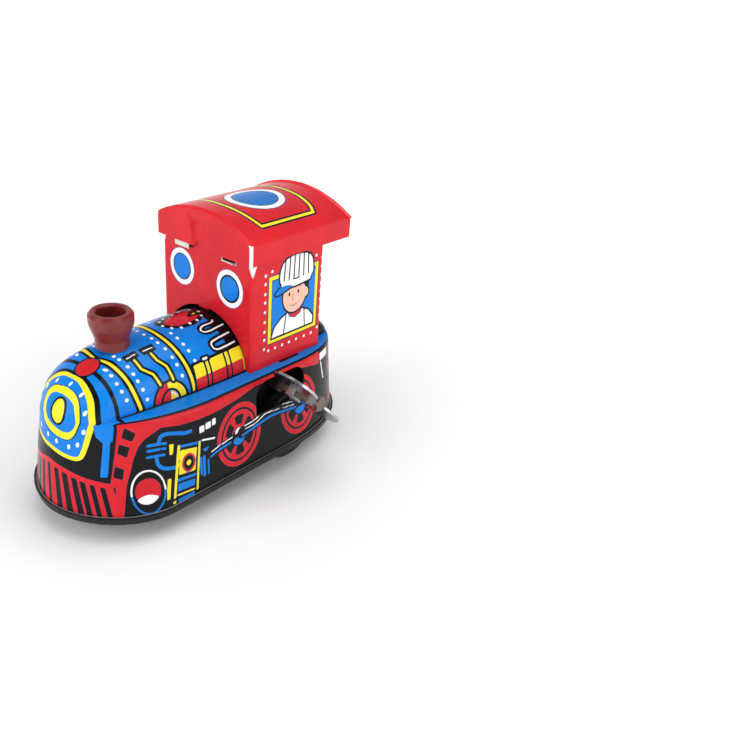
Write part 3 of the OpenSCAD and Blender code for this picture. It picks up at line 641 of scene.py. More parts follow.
def draw_side(ink, g):
    """Running gear, lamps and pipes along one side."""
    s, z = g.s, g.z
    ink.lay("black", area(s, z, [
        (18.3, 30), (18.9, 23.5), (15.9, 10.9), (16.8, 9.9), (16, 2), (120, 2), (120, 30),
    ]) - 0.35)
    ink.lay("blue", area(s, z, [
        (13.2, 30), (14.2, 21.6), (15.6, 20.3), (13.8, 12.3), (15.5, 12.3), (16.9, 18.7), (18.3, 26),
        (18.3, 30),
    ]))
    ink.lay("red", area(s, z, [
        (19.4, 26), (19.2, 22.8), (15.9, 10.7), (16.9, 9.9), (16, 2), (17.8, 2), (18.7, 7.2), (19.4, 10.3),
        (20.6, 13.3), (21.7, 16.2), (23.1, 18.7), (24.6, 20.1), (26.9, 21.2), (28.5, 22), (32.7, 21.4),
        (38.5, 21.2), (44.2, 21.4), (50, 22), (53.8, 22.8), (56, 23.2), (68, 23.1), (74.6, 22.2),
        (80, 21.1), (82.4, 20.6), (82.7, 26),
    ]))
    for a, b, c, d in (
        ((20.8, 23.2), (22.9, 21.7), (21.9, 20.2), (19.9, 21.2)),
        ((19.1, 19.7), (21.1, 18.8), (20.3, 16.7), (18.5, 17.8)),
        ((17.5, 14.7), (19.2, 13.9), (18.6, 11.6), (16.8, 12.4)),
    ):
        ink.lay("black", area(s, z, [a, b, c, d]) - 0.1)
    ink.lay("red", area(s, z, [(16, 2), (17.8, 2), (18.7, 7.2), (19.4, 10.6), (16.6, 10.4), (16.9, 9.9)]))
    # lamp
    lamp = oval(s, z, (23.9, 7.7), (4.05, 5.4))
    ink.lay("white", np.maximum(lamp, 7.3 - z))
    ink.lay("blue", np.maximum(lamp, z - 7.3))
    ink.lay("black", lamp + 0.45)
    ink.lay("red", oval(s, z, (23.8, 8), (2.9, 3.1)))
    ink.lay("white", area(s, z, [
        (21.2, 6.2), (22.1, 6.9), (23.5, 7.2), (24.8, 6.9), (25.9, 6.2), (24.8, 5.2), (23.6, 4.9),
        (22.2, 5.2),
    ], True))
    # pipes
    pipe = [(27.7, 19.1), (28.3, 20), (29.6, 20.2), (31.9, 19.7), (33.8, 19.1), (35.5, 19)]
    ink.lay("blue", stroke(s, z, pipe, 0.9))
    ink.lay("blue", stroke(s, z, [(26.6, 15.1), (26.8, 13.7), (27.7, 12.6), (29.2, 12), (30.6, 11.7)], 0.85))
    for a, b, h, w in (
        (25.1, 28, 18.5, 0.7), (24.9, 27.6, 17.3, 0.65), (24.6, 27.3, 15.9, 0.6),
        (28.5, 29.2, 18.2, 0.6), (28.2, 28.9, 17.1, 0.6), (27.7, 28.5, 15.7, 0.6),
    ):
        ink.lay("blue", stroke(s, z, [(a, h), (b, h - 0.15)], w))
    # pump and gauge
    ink.lay("yellow", area(s, z, [(29.9, 17.6), (31, 17.4), (30.5, 14.9), (29.7, 15.1)]))
    ink.lay("yellow", area(s, z, [(28.5, 9.6), (29.5, 9.4), (28.6, 4.5), (27.8, 4.5)]))
    ink.lay("yellow", stroke(s, z, [(32.2, 16.4), (29.9, 4.4)], 0.7))
    ink.lay("yellow", stroke(s, z, [(37.8, 15.5), (36.5, 3.7)], 0.6))
    ink.lay("yellow", oval(s, z, (29.7, 3.2), (0.5, 0.4)))
    ink.lay("yellow", area(s, z, [(32.4, 15.3), (37, 14.5), (36.2, 8.8), (31.6, 9.4)]))
    gauge = oval(s, z, (34.5, 11.5), (1.9, 2.35))
    ink.lay("red", between(gauge, -0.5, 0.0))
    ink.lay("black", gauge + 0.5)
    ink.lay("yellow", oval(s, z, (34.5, 11.5), (0.65, 0.7)))
    ink.lay("yellow", stroke(s, z, [(30.8, 4.6), (35.6, 4.1)], 0.45))
    ink.lay("blue", stroke(s, z, [(32.7, 16.2), (37.2, 15.5)], 0.6))
    ink.lay("blue", stroke(s, z, [(31.3, 8.2), (36, 7.7)], 0.75))
    ink.lay("blue", area(s, z, [(31.1, 7.3), (36, 6.7), (35.8, 5), (30.9, 5.5)]))
    ink.lay("blue", block(s, z, (30.8, 1), (35.6, 3.5)))
    ink.lay("blue", area(s, z, [(38.4, 13.2), (40.6, 13.4), (39.6, 12.2)]))
    for a, b, low in ((37.7, 38.2, 6.6), (38.5, 39.3, 5.9), (39.9, 40.4, 5.9)):
        ink.lay("blue", block(s, z, (a, low), (b, 11.5)))
    for a, b, low in ((37.9, 39.3, 17.6), (39.7, 41.2, 17.9), (41.6, 42.7, 18.2)):
        ink.lay("white", block(s, z, (a, low), (b, low + 1.7)))
    ink.lay("white", stroke(s, z, [(38.6, 15.6), (42.5, 14.7)], 0.5))
    # driving wheels and their rods
    for centre, hub in (((50.3, 12.35), (50.1, 11.8)), ((72.5, 12.2), (72.7, 11.6))):
        draw_wheel(ink, s, z, centre, hub)
    ink.lay("black", stroke(s, z, [(41, 10.8), (47.6, 12)], 2.2, False))
    for line in ([(41, 11.4), (43.8, 12.1)], [(44.4, 12.1), (47.9, 12.6)]):
        ink.lay("white", stroke(s, z, line, 0.35))
    ink.lay("blue", stroke(s, z, [(41, 10.3), (43.8, 11), (47.3, 11.3)], 0.55))
    rod = [(51.2, 11.7), (56.5, 12.4), (60.8, 13), (64.8, 12.8), (70.8, 12)]
    ink.lay("black", stroke(s, z, [(p, q + 0.9) for p, q in rod], 3.2))
    ink.lay("blue", stroke(s, z, rod, 0.6))
    ink.lay("white", stroke(s, z, [(51.9, 13.9), (56.3, 14.4), (57.7, 15.4)], 0.34))
    ink.lay("white", stroke(s, z, [(52.1, 13), (56, 13.3), (59.2, 14.4), (61.5, 14.3), (64.8, 13.9)], 0.32))
    for line in ([(65.8, 13.65), (70.4, 13)], [(65.8, 14.7), (69.6, 14.1)]):
        ink.lay("white", stroke(s, z, line, 0.32))
    # tail
    ink.lay("white", block(s, z, (82.9, 21.2), (88, 23.4), 0.3))
    ink.lay("white", stroke(s, z, [(83.5, 20.6), (84.8, 15.3)], 0.6))
    ink.lay("red", block(s, z, (88.6, 15.5), (112, 23.4), 0.8))
    ink.lay("black", block(s, z, (89.4, 16.3), (112, 22.6), 0.6))
    ink.lay("yellow", block(s, z, (91.2, 18), (99.4, 20.9), 0.5))
    ink.lay("black", block(s, z, (91.8, 18.6), (98.8, 20.3), 0.4))
    ink.lay("red", stroke(s, z, [(89, 6.5), (109, 6.5)], 1.0), stroke(s, z, [(89, 9), (109, 9)], 0.5))


def draw_wheel(ink, s, z, centre, hub):
    tyre = oval(s, z, centre, (8.2, 9.0))
    ink.lay("black", tyre)
    rim = oval(s, z, centre, (7.35, 8.4))
    ink.lay("red", rim)
    ink.lay("black", rim + 1.3)
    disc = rim + 1.9
    ink.lay("red", disc)
    dx, dz = s - centre[0], (z - centre[1]) * 7.35 / 8.4
    angle = np.degrees(np.arctan2(dz, dx))
    radius = np.hypot(dx, dz)
    for k in range(6):
        off = np.abs((angle - (60 * k + 30) + 180) % 360 - 180)
        wedge = (off - 20) * radius * math.pi / 180
        ink.lay("black", np.maximum(np.maximum(wedge, 2.5 - radius), radius - 4.7))
    ink.lay("red", oval(s, z, centre, (2.6, 2.8)))
    ink.lay("black", oval(s, z, hub, (2.5, 2.5)))
    ink.lay("white", oval(s, z, (hub[0], hub[1] + 1.4), (1.3, 1.1)))
    ink.lay("black", block(s, z, (hub[0] - 2, hub[1] - 0.1), (hub[0] + 2, hub[1] + 1.1)))
    ink.lay("blue", np.maximum(oval(s, z, hub, (2.1, 2.1)), z - hub[1]))


BANDS = (
    [(26.5, -0.5), (27.4, 3.8), (27.9, 7.9), (28.5, 11.6), (29.05, 14.9), (30.3, 18.2), (31.2, 21.2)],
    [(12.4, -0.5), (12.7, 3.8), (13.1, 7.9), (13.6, 12.1), (14.2, 16.3), (14.5, 19.4), (14.6, 21.2)],
)
RIVETS = [
    (29.6, 3.9), (30, 6.2), (30.25, 8.3), (30.3, 10.7), (30.4, 12.5),
    (24.9, 2.5), (25.3, 5), (25.7, 7.25), (25.9, 9.2), (26.1, 11.4), (26.6, 14.1), (26.9, 15.7),
    (14.9, 4.9), (15.1, 7.7), (15.25, 9.75), (15.5, 12.3), (16, 14.6), (16.3, 16.5), (16.8, 18.7),
    (16.9, 20.8),
    (10.3, 7.1), (10.5, 9.8), (10.7, 11.8), (10.9, 13.9), (11.2, 15.9),
]
DOME_RIVETS = [
    (10.9, 19.3), (9.75, 17.4), (7.6, 16.5), (4.7, 16.9), (2.2, 17.2), (-0.1, 18.3), (-1.1, 20.4),
    (-0.7, 23.4), (9.9, 21.7), (7.9, 22.9), (4.6, 23.6), (1.7, 24.6),
]


def draw_boiler(ink, g, hand):
    """Bands, handles, pipes, tank and dome on the boiler."""
    x, t = g.x, g.t
    over = t if hand > 0 else 2 * g.girth - t
    ink.lay("blue", np.full(x.shape, -REACH))
    ink.lay("black", np.maximum(x, 17 - over), np.maximum(x, over - 2 * g.girth + 17))
    for band in BANDS:
        line = stroke(x, t, band, 0.8)
        ink.lay("black", line - 0.65)
        ink.lay("yellow", line)
    ink.lay("white", *[oval(x, t, p, (0.42, 0.45)) for p in RIVETS])
    # safety valve's arch
    arch = oval(x, t, (18.9, 0), (4.2, 4.6))
    ink.lay("black", arch - 0.6)
    ink.lay("red", np.maximum(arch, 19.2 - x))
    ink.lay("yellow", np.maximum(arch, x - 19.2))
    ink.lay("black", oval(x, t, (18.9, 0), (2.65, 3.2)))
    ink.lay("red", np.maximum(oval(x, t, (18.9, 0), (2.1, 2.6)), 18.8 - x))
    ink.lay("yellow", np.maximum(oval(x, t, (18.9, 0), (2.1, 2.6)), x - 18.8))
    ink.lay("white", stroke(x, t, [(17.5, 0.6), (17.8, 1.6), (18.6, 2.1)], 0.35))
    # handles on their rods
    for rod in (
        [(23.9, 12.8), (23.6, 9.6), (21.6, 7.5), (20.9, 4.6)],
        [(19.4, 12.8), (19.1, 10.4), (17.7, 8.2), (17.4, 4.8)],
    ):
        line = stroke(x, t, rod, 0.6, False)
        ink.lay("black", line - 0.6)
        ink.lay("yellow", line)
    for a, b, c, d in (
        ((25.7, 14.2), (22.4, 14.6), (22.4, 13.1), (25.5, 12.7)),
        ((21.3, 14.6), (17.7, 14.75), (17.7, 13.2), (20.9, 12.9)),
    ):
        ink.lay("black", area(x, t, [a, b, c, d]) - 0.25)
        middle = [((a[0] + d[0]) / 2 - 0.4, (a[1] + d[1]) / 2), ((b[0] + c[0]) / 2 + 0.3, (b[1] + c[1]) / 2)]
        ink.lay("white", stroke(x, t, middle, 0.35))
    # tank
    tank = area(x, t, [(11.6, 0.3), (11.3, 6.1), (-3.4, 6.8), (-3.4, 0.3)])
    ink.lay("black", tank - 0.65)
    split = area(x, t, [(12, -3), (12, 2.9), (-3, 3.6), (-3, -3)])
    ink.lay("red", np.maximum(tank, split))
    ink.lay("yellow", np.maximum(tank, -split))
    for at in (8.1, 6.8, 2.1, 0.6):
        ink.lay("black", np.maximum(stroke(x, t, [(at + 0.2, 0), (at, 6.6)], 0.5), tank))
    ink.lay("black", block(x, t, (6.2, 6.1), (8.8, 7.6), 0.3))
    ink.lay("white", block(x, t, (6.7, 6.5), (8.3, 7.1), 0.2))
    # bent pipes
    for pipe in (
        [
            (-2.9, 13.4), (-0.4, 13.1), (2.1, 12.8), (3.6, 13.1), (3.9, 13.9), (2.7, 14.75), (-0.4, 15),
            (-1.2, 15.6),
        ],
        [
            (-2.6, 10.8), (0, 10.5), (2.1, 10.2), (3.7, 9.8), (4.05, 8.9), (3.6, 8.0), (2.1, 7.7),
            (-2.6, 8.1),
        ],
    ):
        line = stroke(x, t, pipe, 0.45)
        ink.lay("black", line - 0.65)
        ink.lay("white", line)
    # dome
    ink.lay("black", oval(x, over, (5.2, 20.3), (6.6, 4.3)))
    ink.lay("red", area(x, over, [
        (9.9, 19.3), (8.2, 17.7), (5.4, 17.3), (2.7, 17.7), (0.3, 19.1), (3.2, 19.5), (0.2, 22.7),
        (2.7, 22.8), (6.8, 22.1), (9.3, 20.7),
    ], True))
    ink.lay("yellow", area(x, over, [(1.7, 20), (0.2, 20.7), (0.4, 19.75)]))
    ink.lay("white", *[oval(x, over, p, (0.42, 0.45)) for p in DOME_RIVETS])
    # crease line along the running board
    ink.lay("black", 0 * x + t - 0.3)


def print_body(g, hand):
    ink = Print(g.x.shape, "blue")
    wall = np.maximum(g.up + g.ledge_w + 0.9, 0 * g.x - REACH)
    front = SEAM_X - g.x
    high = -(g.up + 0.02)
    ink.inside(np.maximum(wall, front - 6)).lay("black", np.full(g.x.shape, -REACH))
    draw_nose(ink.inside(np.where(g.z < LEDGE_Z - 0.5, g.s - 18.9, front)), g, hand)
    ink.inside(np.maximum(wall, 13.6 - g.s))
    draw_side(ink, g)
    draw_catcher(ink.inside(wall), g, hand)
    draw_boiler(ink.inside(np.maximum(high, -front)), g, hand)
    board_print = np.maximum(-wall, np.maximum(g.up, -front - 1.2))
    ink.inside(board_print).lay("blue", np.full(g.x.shape, -REACH))
    ink.inside(np.maximum(-front - 1.4, -(g.up + g.ledge_w + 3)))
    ink.lay("black", np.abs(g.up + g.ledge_w + 0.9) - 0.35, np.maximum(np.abs(g.up) - 0.35, -front))
    ink.inside(-(g.up + g.ledge_w + 0.5)).lay("black", np.abs(front) - 0.45)
    badge = np.hypot(g.x - BADGE[0], g.y * hand - BADGE[1])
    ink.inside(-(g.up + 0.02))
    ink.lay("black", badge - 2.9)
    ink.lay("red", badge - 2.5)
    slot = block(g.x, g.y, LUG_SLOT_LOW, LUG_SLOT_HIGH, 0.3)
    ink.inside(board_print).lay("black", slot)
    return ink


BADGE = (32.0, 0.9)
LUG_SLOT_LOW, LUG_SLOT_HIGH = (-19.9, 15.0), (-13.0, 16.2)
OPEN_X, OPEN_HALF, OPEN_LOW, OPEN_HIGH, OPEN_CORNER = -10.3, 8.7, 14.8, 23.4, 4.0


def opening(x, z):
    """Outline of the key's opening: square below, rounded above."""
    arch = block(x, z, (OPEN_X - OPEN_HALF, OPEN_LOW), (OPEN_X + OPEN_HALF, OPEN_HIGH), OPEN_CORNER)
    base = block(x, z, (OPEN_X - OPEN_HALF, OPEN_LOW), (OPEN_X + OPEN_HALF, OPEN_HIGH - OPEN_CORNER - 1))
    return np.minimum(arch, base)


def cut_opening(g):
    """Faces left round the key's opening, and the points drawn onto its outline."""
    d = opening(g.x, g.z)
    keep = (middles(d) > 0) | (g.z[:-1, :-1] > LEDGE_Z - 0.2)
    gx, gz = slopes(opening, g.x, g.z)
    move = beside_cut(keep) & (np.abs(d) < 0.36) & (g.z < LEDGE_Z - 0.4)
    dy_dz = np.gradient(g.y, axis=0) / np.maximum(np.gradient(g.z, axis=0), 1e-6)
    grid = g.grid.copy()
    grid[..., 0] -= np.where(move, d * gx, 0)
    grid[..., 2] -= np.where(move, d * gz, 0)
    grid[..., 1] -= np.where(move, d * gz * dy_dz, 0)
    return grid, keep


def add_body(hand, name, columns, rows):
    g = Shell(columns, rows)
    grid, keep = cut_opening(g) if hand > 0 else (g.grid, None)
    ink = print_body(g, hand)
    points = grid * (1, hand, 1)
    mesh = make_mesh(name, points, grid_faces(*g.x.shape, flip=hand < 0, keep=keep))
    ink.store(mesh)
    clean(mesh)
    piece = link(name, mesh, "chassis")
    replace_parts(piece, "body_shell")
    for finish in (TIN_PRINT, PAINTED_SHADE_INSIDE, TIN_EDGE):
        mesh.materials.append(finish)
    return thicken(piece, SHEET_T)


# ================================================================ cab
CAB_LOW, CAB_HIGH = cad("cab")
CAB_FRONT, CAB_REAR, CAB_HALF, CAB_TOP = CAB_HIGH[0], CAB_LOW[0], CAB_HIGH[1], CAB_HIGH[2]
CAB_BASE = LEDGE_Z + 0.05
CAB_T = 0.4
FOLD_R = 0.8
FOLD_MIDDLE = CAB_HALF - FOLD_R + FOLD_R * math.pi / 4
ARCH_SHIFT, ARCH_HALF, ARCH_RISE = -0.3, 14.1, 12.5
ARCH_TAB = (-2.6, 0.8, 0.55)
REAR_ARCH = (13.7, 8.4)


def cab_path(spacing):
    """Half of the cab's plan from the middle of its front to the middle of its rear."""
    flat = CAB_HALF - FOLD_R
    turn = np.linspace(0, math.pi / 2, 9)
    points = [(CAB_FRONT, 0.0)]
    points += [(CAB_FRONT - FOLD_R + FOLD_R * math.cos(a), flat + FOLD_R * math.sin(a)) for a in turn]
    points += [(CAB_REAR + FOLD_R - FOLD_R * math.sin(a), flat + FOLD_R * math.cos(a)) for a in turn]
    points += [(CAB_REAR, 0.0)]
    path = np.array(points)
    s = np.concatenate([[0], np.cumsum(np.hypot(*np.diff(path, axis=0).T))])
    even = np.linspace(0, s[-1], int(s[-1] / spacing) + 1)
    return np.interp(even, s, path[:, 0]), np.interp(even, s, path[:, 1]), even, s[-1]


def cab_cut(y, z, share):
    """Inside of the arches that clear the boiler; share is how far along the sheet a point is."""
    front = oval(y, z, (ARCH_SHIFT, LEDGE_Z), (ARCH_HALF, ARCH_RISE))
    crown = LEDGE_Z + ARCH_RISE
    tab = block(y, z, (ARCH_TAB[0], crown - ARCH_TAB[2]), (ARCH_TAB[1], crown + 2))
    front = np.maximum(front, -tab)
    rear = oval(y, z, (0, LEDGE_Z), REAR_ARCH)
    return np.where(share < 0.4, front, np.where(share > 0.6, rear, REACH))


def draw_cab_front(ink, y, z):
    for centre, white, dark, glass in (
        ((-8.6, 45.15), (4.25, 4.65), (3.15, 3.4), (2.8, 3.1)),
        ((8.05, 44.3), (4.4, 4.7), (3.3, 3.5), (2.85, 3.0)),
    ):
        ink.lay("black", oval(y, z, centre, white) - 0.12)
        ink.lay("white", oval(y, z, centre, white))
        ink.lay("black", oval(y, z, centre, dark))
        ink.lay("blue", oval(y, z, centre, glass))
    slot = block(y, z, (5.6, 50.8), (10.0, 52.3), 0.2)
    ink.lay("steel", slot - 0.2)
    ink.lay("black", slot, block(y, z, (-9.9, 50.9), (-4.5, 51.6), 0.2))


PANE_LOW, PANE_HIGH = (9.0, 30.4), (26.5, 47.9)


def draw_driver(ink, u, z):
    """A plain figure in a striped cap, looking towards the nose."""
    shirt = area(u, z, [
        (10.3, 31.7), (11.3, 34.2), (13.6, 36.0), (16.0, 36.9), (20.6, 36.9), (23.4, 35.6), (25.1, 33.6),
        (25.1, 31.7),
    ])
    neck = block(u, z, (16.6, 35.4), (20.6, 38.6), 0.6)
    ink.lay("black", shirt - 0.5, neck - 0.45)
    ink.lay("skin", neck)
    ink.lay("white", shirt)
    scarf = area(u, z, [(16.0, 37.1), (20.9, 37.1), (20.2, 35.9), (18.4, 35.2), (16.6, 35.9)])
    ink.lay("black", scarf - 0.25)
    ink.lay("red", scarf)
    for strap in ([(15.2, 36.4), (14.6, 31.9)], [(21.8, 36.3), (22.2, 31.9)]):
        ink.lay("black", stroke(u, z, strap, 0.35))
    face = oval(u, z, (18.1, 41.2), (4.1, 4.5))
    ear = oval(u, z, (22.1, 40.9), (0.95, 1.25))
    ink.lay("black", face - 0.5, ear - 0.5)
    ink.lay("skin", face, ear)
    ink.lay("black", area(u, z, [(20.9, 45.2), (23.4, 45.4), (23.2, 42.4), (21.9, 42.4), (21.2, 43.4)]))
    ink.lay("black", oval(u, z, (16.2, 41.7), (0.33, 0.55)), oval(u, z, (19.4, 41.7), (0.33, 0.55)))
    ink.lay("black", stroke(u, z, [(15.5, 43.0), (16.2, 43.3), (16.9, 43.1)], 0.22))
    ink.lay("black", stroke(u, z, [(18.8, 43.1), (19.5, 43.3), (20.2, 43.0)], 0.22))
    ink.lay("black", stroke(u, z, [(17.6, 41.4), (17.3, 40.2), (18.0, 40.0)], 0.2))
    ink.lay("black", stroke(u, z, [(16.5, 38.8), (17.8, 38.4), (19.1, 38.8)], 0.24))
    crown = area(u, z, [
        (13.4, 45.0), (12.9, 48.2), (14.6, 50.8), (18.6, 51.5), (22.9, 50.7), (24.4, 48.2), (23.9, 45.0),
        (18.6, 45.6),
    ], True)
    band = area(u, z, [(13.2, 45.6), (13.4, 44.0), (18.4, 43.5), (23.6, 44.0), (24.0, 45.6), (18.5, 45.2)])
    peak = area(u, z, [(13.6, 44.4), (11.2, 43.0), (12.4, 42.5), (17.0, 43.8)], True)
    ink.lay("black", crown - 0.5, band - 0.5, peak - 0.45)
    ink.lay("white", crown)
    for k in range(6):
        stripe = stroke(u, z, [(14.1 + 1.75 * k, 45.0), (14.6 + 1.6 * k, 51.6)], 0.42)
        ink.lay("black", np.maximum(stripe, crown))
    ink.lay("white", band)
    ink.lay("blue", peak)


def draw_cab_side(ink, x, z):
    u = -x
    frame_out = block(u, z, PANE_LOW, PANE_HIGH, 0.2)
    ink.lay("black", frame_out - 0.25)
    ink.lay("yellow", frame_out)
    ink.lay("black", frame_out + 1.0)
    ink.lay("blue", frame_out + 1.2)
    draw_driver(ink, u, z)
    dots = [(7.8, h) for h in (48.6, 46.5, 43.95, 41.8, 39.3, 36.7, 34.15, 32, 29.5)]
    dots += [(27.85, h) for h in (48.6, 46.2, 44, 41.75, 39.6, 37.4, 35.1, 32.9)]
    dots += [(at, 28.7) for at in (9.3, 11.7, 14.2, 16.7, 19.3, 22.2, 24.9)]
    dots += [(10, 49.2), (25.6, 49.6), (27.2, 29.6)]
    ink.lay("white", *[oval(u, z, p, (0.38, 0.4)) for p in dots])


def draw_cab_rear(ink, y, z):
    pane = block(y, z, (-9.5, 38.5), (9.5, 50), 1.2)
    ink.lay("black", pane - 0.25)
    ink.lay("yellow", pane)
    ink.lay("black", pane + 1.0)
    ink.lay("blue", pane + 1.2)
    ink.lay("black", np.maximum(np.abs(y) - 0.3, pane + 1.2))
    ink.lay("white", *[oval(np.abs(y), z, p, (0.38, 0.4)) for p in [(12.6, h) for h in range(36, 52, 2)]])


def add_cab(hand, name, spacing):
    px, py, along, total = cab_path(spacing)
    zs = np.linspace(CAB_BASE, CAB_TOP, int((CAB_TOP - CAB_BASE) / spacing) + 1)
    x, z = np.meshgrid(px, zs)
    y, s = np.meshgrid(py, zs)[0] * hand, np.meshgrid(along, zs)[0]
    share = s / total
    ink = Print(x.shape, "red")
    draw_cab_front(ink.inside(s - 15.2), y, z)
    draw_cab_side(ink.inside(np.maximum(14.9 - s, s - (total - 15.0))), x, z)
    draw_cab_rear(ink.inside((total - 15.0) - s), y, z)
    ink.inside(0 * s - REACH).lay("steel", area(s - FOLD_MIDDLE, z, [(-1.3, 52.3), (1.6, 52.3), (0.2, 48.9)]))
    d = cab_cut(y, z, share)
    keep = middles(d) > 0
    gy, gz = slopes(lambda a, b: cab_cut(a, b, share), y, z)
    move = beside_cut(keep) & (np.abs(d) < 0.9 * spacing) & (np.abs(y) < CAB_HALF - FOLD_R)
    y2 = np.where(move, y - d * gy, y)
    z2 = np.where(move, z - d * gz, z)
    if hand > 0:
        y2 = np.where(np.abs(y) < 1e-6, 0, y2)
    points = np.stack([x, y2, np.maximum(z2, CAB_BASE)], -1)
    mesh = make_mesh(name, points, grid_faces(*x.shape, flip=hand < 0, keep=keep))
    ink.store(mesh)
    clean(mesh)
    piece = link(name, mesh, "chassis")
    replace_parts(piece, "cab")
    for finish in (TIN_PRINT, PAINTED_SHADE_INSIDE, TIN_EDGE):
        mesh.materials.append(finish)
    return thicken(piece, CAB_T)


def add_cab_tabs():
    """Lugs at the foot of the cab's sides that go through the running board."""
    spans = []
    for hand in (-1, 1):
        at = np.array((-18.1, hand * (CAB_HALF - CAB_T / 2), LEDGE_Z - 0.6))
        half = np.array((1.7, 0.45 * CAB_T, 1.0))
        spans.append((at - half, at + half))
    piece = link("cab_lugs", blocks("cab_lugs", spans, 0.1, PLAIN_RED), "chassis")
    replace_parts(piece, "cab")


# ================================================================ roof
ROOF_LOW, ROOF_HIGH = cad("roof")
ROOF_FRONT, ROOF_REAR, ROOF_HALF, ROOF_CROWN = ROOF_HIGH[0], ROOF_LOW[0], 16.3, 62.0
FLANGE_Z, EAVE_Z = 52.2, 57.5
BEAD_R = 0.6
ROOF_R = (ROOF_HALF**2 + (ROOF_CROWN - EAVE_Z) ** 2) / (2 * (ROOF_CROWN - EAVE_Z))
BEND_R = 0.7


def roof_profile(spacing):
    """Section of the roof from one flange over the crown to the other, with its outward normals."""
    reach = math.asin((ROOF_HALF - 0.9) / ROOF_R)
    count = int(ROOF_R * reach / spacing)
    centre = ROOF_CROWN - ROOF_R
    turn = np.linspace(reach, 0, count + 1)
    arc = [(ROOF_R * math.sin(a), centre + ROOF_R * math.cos(a)) for a in turn]
    start, knee = np.array((ROOF_HALF, EAVE_Z - 0.7)), np.array((ROOF_HALF, EAVE_Z + 0.05))
    end = np.array(arc[0])
    corner = []
    for t in np.linspace(0, 1, 8)[1:-1]:
        corner.append(tuple(start * (1 - t) ** 2 + 2 * knee * t * (1 - t) + end * t**2))
    side = [(ROOF_HALF, z) for z in np.linspace(FLANGE_Z, EAVE_Z - 0.7, 16)]
    half = np.array(side + corner + arc)
    return np.concatenate([half, half[-2::-1] * (-1, 1)])


def draw_roof(ink, x, y, z):
    g = ROOF_R * np.arcsin(np.clip(y / ROOF_R, -1, 1))
    ink.inside(EAVE_Z + 0.1 - z)
    edges = (
        [(-9.3, 12.5), (-8.9, 9.5), (-8.4, 4.5), (-8.1, 0), (-8.4, -4.5)],
        [(-27.1, 12.5), (-28.4, 10.2), (-29.2, 6.3), (-29.4, 2.7), (-29.4, -1)],
        [(-27.1, 12.6), (-9.3, 12.6)],
    )
    for colour, width in (("black", 1.9), ("yellow", 0.85)):
        for side in (1, -1):
            for line in edges:
                ink.lay(colour, stroke(x, g * side, line, width))
    hatch = (-18.7, 0.6)
    ink.lay("black", oval(x, g, hatch, (7.95, 7.25)))
    ink.lay("white", oval(x, g, hatch, (7.7, 7.0)))
    ink.lay("black", oval(x, g, hatch, (6.05, 5.55)))
    glass = oval(x, g, hatch, (5.8, 5.3))
    ink.lay("blue", glass)
    for k in range(-5, 6):
        ink.lay("black", np.maximum(np.abs(g - hatch[1] - 1.05 * k) - 0.13, glass))
    ink.inside(0 * x - REACH).lay("steel", np.maximum(ROOF_FRONT - 0.55 - x, z - EAVE_Z + 0.2))


def add_roof(spacing):
    profile = roof_profile(spacing)
    step = np.gradient(profile, axis=0)
    normal = np.stack([step[:, 1], -step[:, 0]], 1)
    normal /= np.linalg.norm(normal, axis=1)[:, None]
    xs = list(np.linspace(ROOF_REAR, ROOF_FRONT - BEND_R, int((ROOF_FRONT - ROOF_REAR) / spacing)))
    inset = [0.0] * len(xs)
    for a in np.linspace(0, math.pi / 2, 7)[1:]:
        xs.append(ROOF_FRONT - BEND_R + BEND_R * math.sin(a))
        inset.append(BEND_R * (1 - math.cos(a)))
    rows = [np.column_stack([np.full(len(profile), x), profile - normal * i]) for x, i in zip(xs, inset)]
    grid = np.array(rows)
    x, y, z = np.moveaxis(grid, 2, 0)
    ink = Print(x.shape, "red")
    draw_roof(ink, x, y, z)
    mesh = make_mesh("roof_sheet", grid, grid_faces(*x.shape))
    ink.store(mesh)
    clean(mesh)
    piece = link("roof_sheet", mesh, "chassis")
    finish_roof(piece)
    add_roof_front(np.column_stack([profile - normal * BEND_R]), spacing)
    add_bead()


def finish_roof(piece):
    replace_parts(piece, "roof")
    for finish in (TIN_PRINT, PAINTED_SHADE_INSIDE, TIN_EDGE):
        piece.data.materials.append(finish)
    thicken(piece, CAB_T)


def add_roof_front(rim, spacing):
    """The flange over the cab's front, dented where it was stamped, with its two tongues."""
    top = rim[rim[:, 1] > EAVE_Z - 0.9]
    order = np.argsort(top[:, 0])
    half = top[:, 0].max()
    ys = np.linspace(-half, half, int(2 * half / spacing) + 1)
    high = np.interp(ys, top[order, 0], top[order, 1])
    f = np.linspace(0, 1, 26)[:, None]
    y = np.broadcast_to(ys, (26, len(ys)))

    def dent(y, z):
        left = -3.5 + (53.2 - z) * 0.23
        right = 1.5 - (58 - z) * 0.1
        return np.clip((y - left) / 0.5, 0, 1) * np.clip((right - y) / 0.5, 0, 1)

    low = FLANGE_Z + 0.8 * dent(y, np.full(y.shape, FLANGE_Z))
    z = low * (1 - f) + high * f
    x = ROOF_FRONT - 0.95 * dent(y, z) * np.clip((60.3 - z) / 3, 0, 1)
    ink = Print(x.shape, "red")
    mesh = make_mesh("roof_front", np.stack([x, y, z], -1), grid_faces(*x.shape))
    ink.store(mesh)
    clean(mesh)
    piece = link("roof_front", mesh, "chassis")
    finish_roof(piece)
    spans = (
        ((ROOF_FRONT - 0.4, -9.7, FLANGE_Z - 1.0), (ROOF_FRONT, -4.7, FLANGE_Z + 0.1)),
        ((ROOF_FRONT - 3.2, -9.7, FLANGE_Z - 1.3), (ROOF_FRONT - 0.1, -4.7, FLANGE_Z - 0.9)),
        ((ROOF_FRONT - 3.2, 5.8, FLANGE_Z - 1.3), (ROOF_FRONT - 0.5, 9.8, FLANGE_Z - 0.9)),
    )
    tongues = blocks("roof_tongues", spans, 0.08, TIN_BARE)
    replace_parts(link("roof_tongues", tongues, "chassis"), "roof")


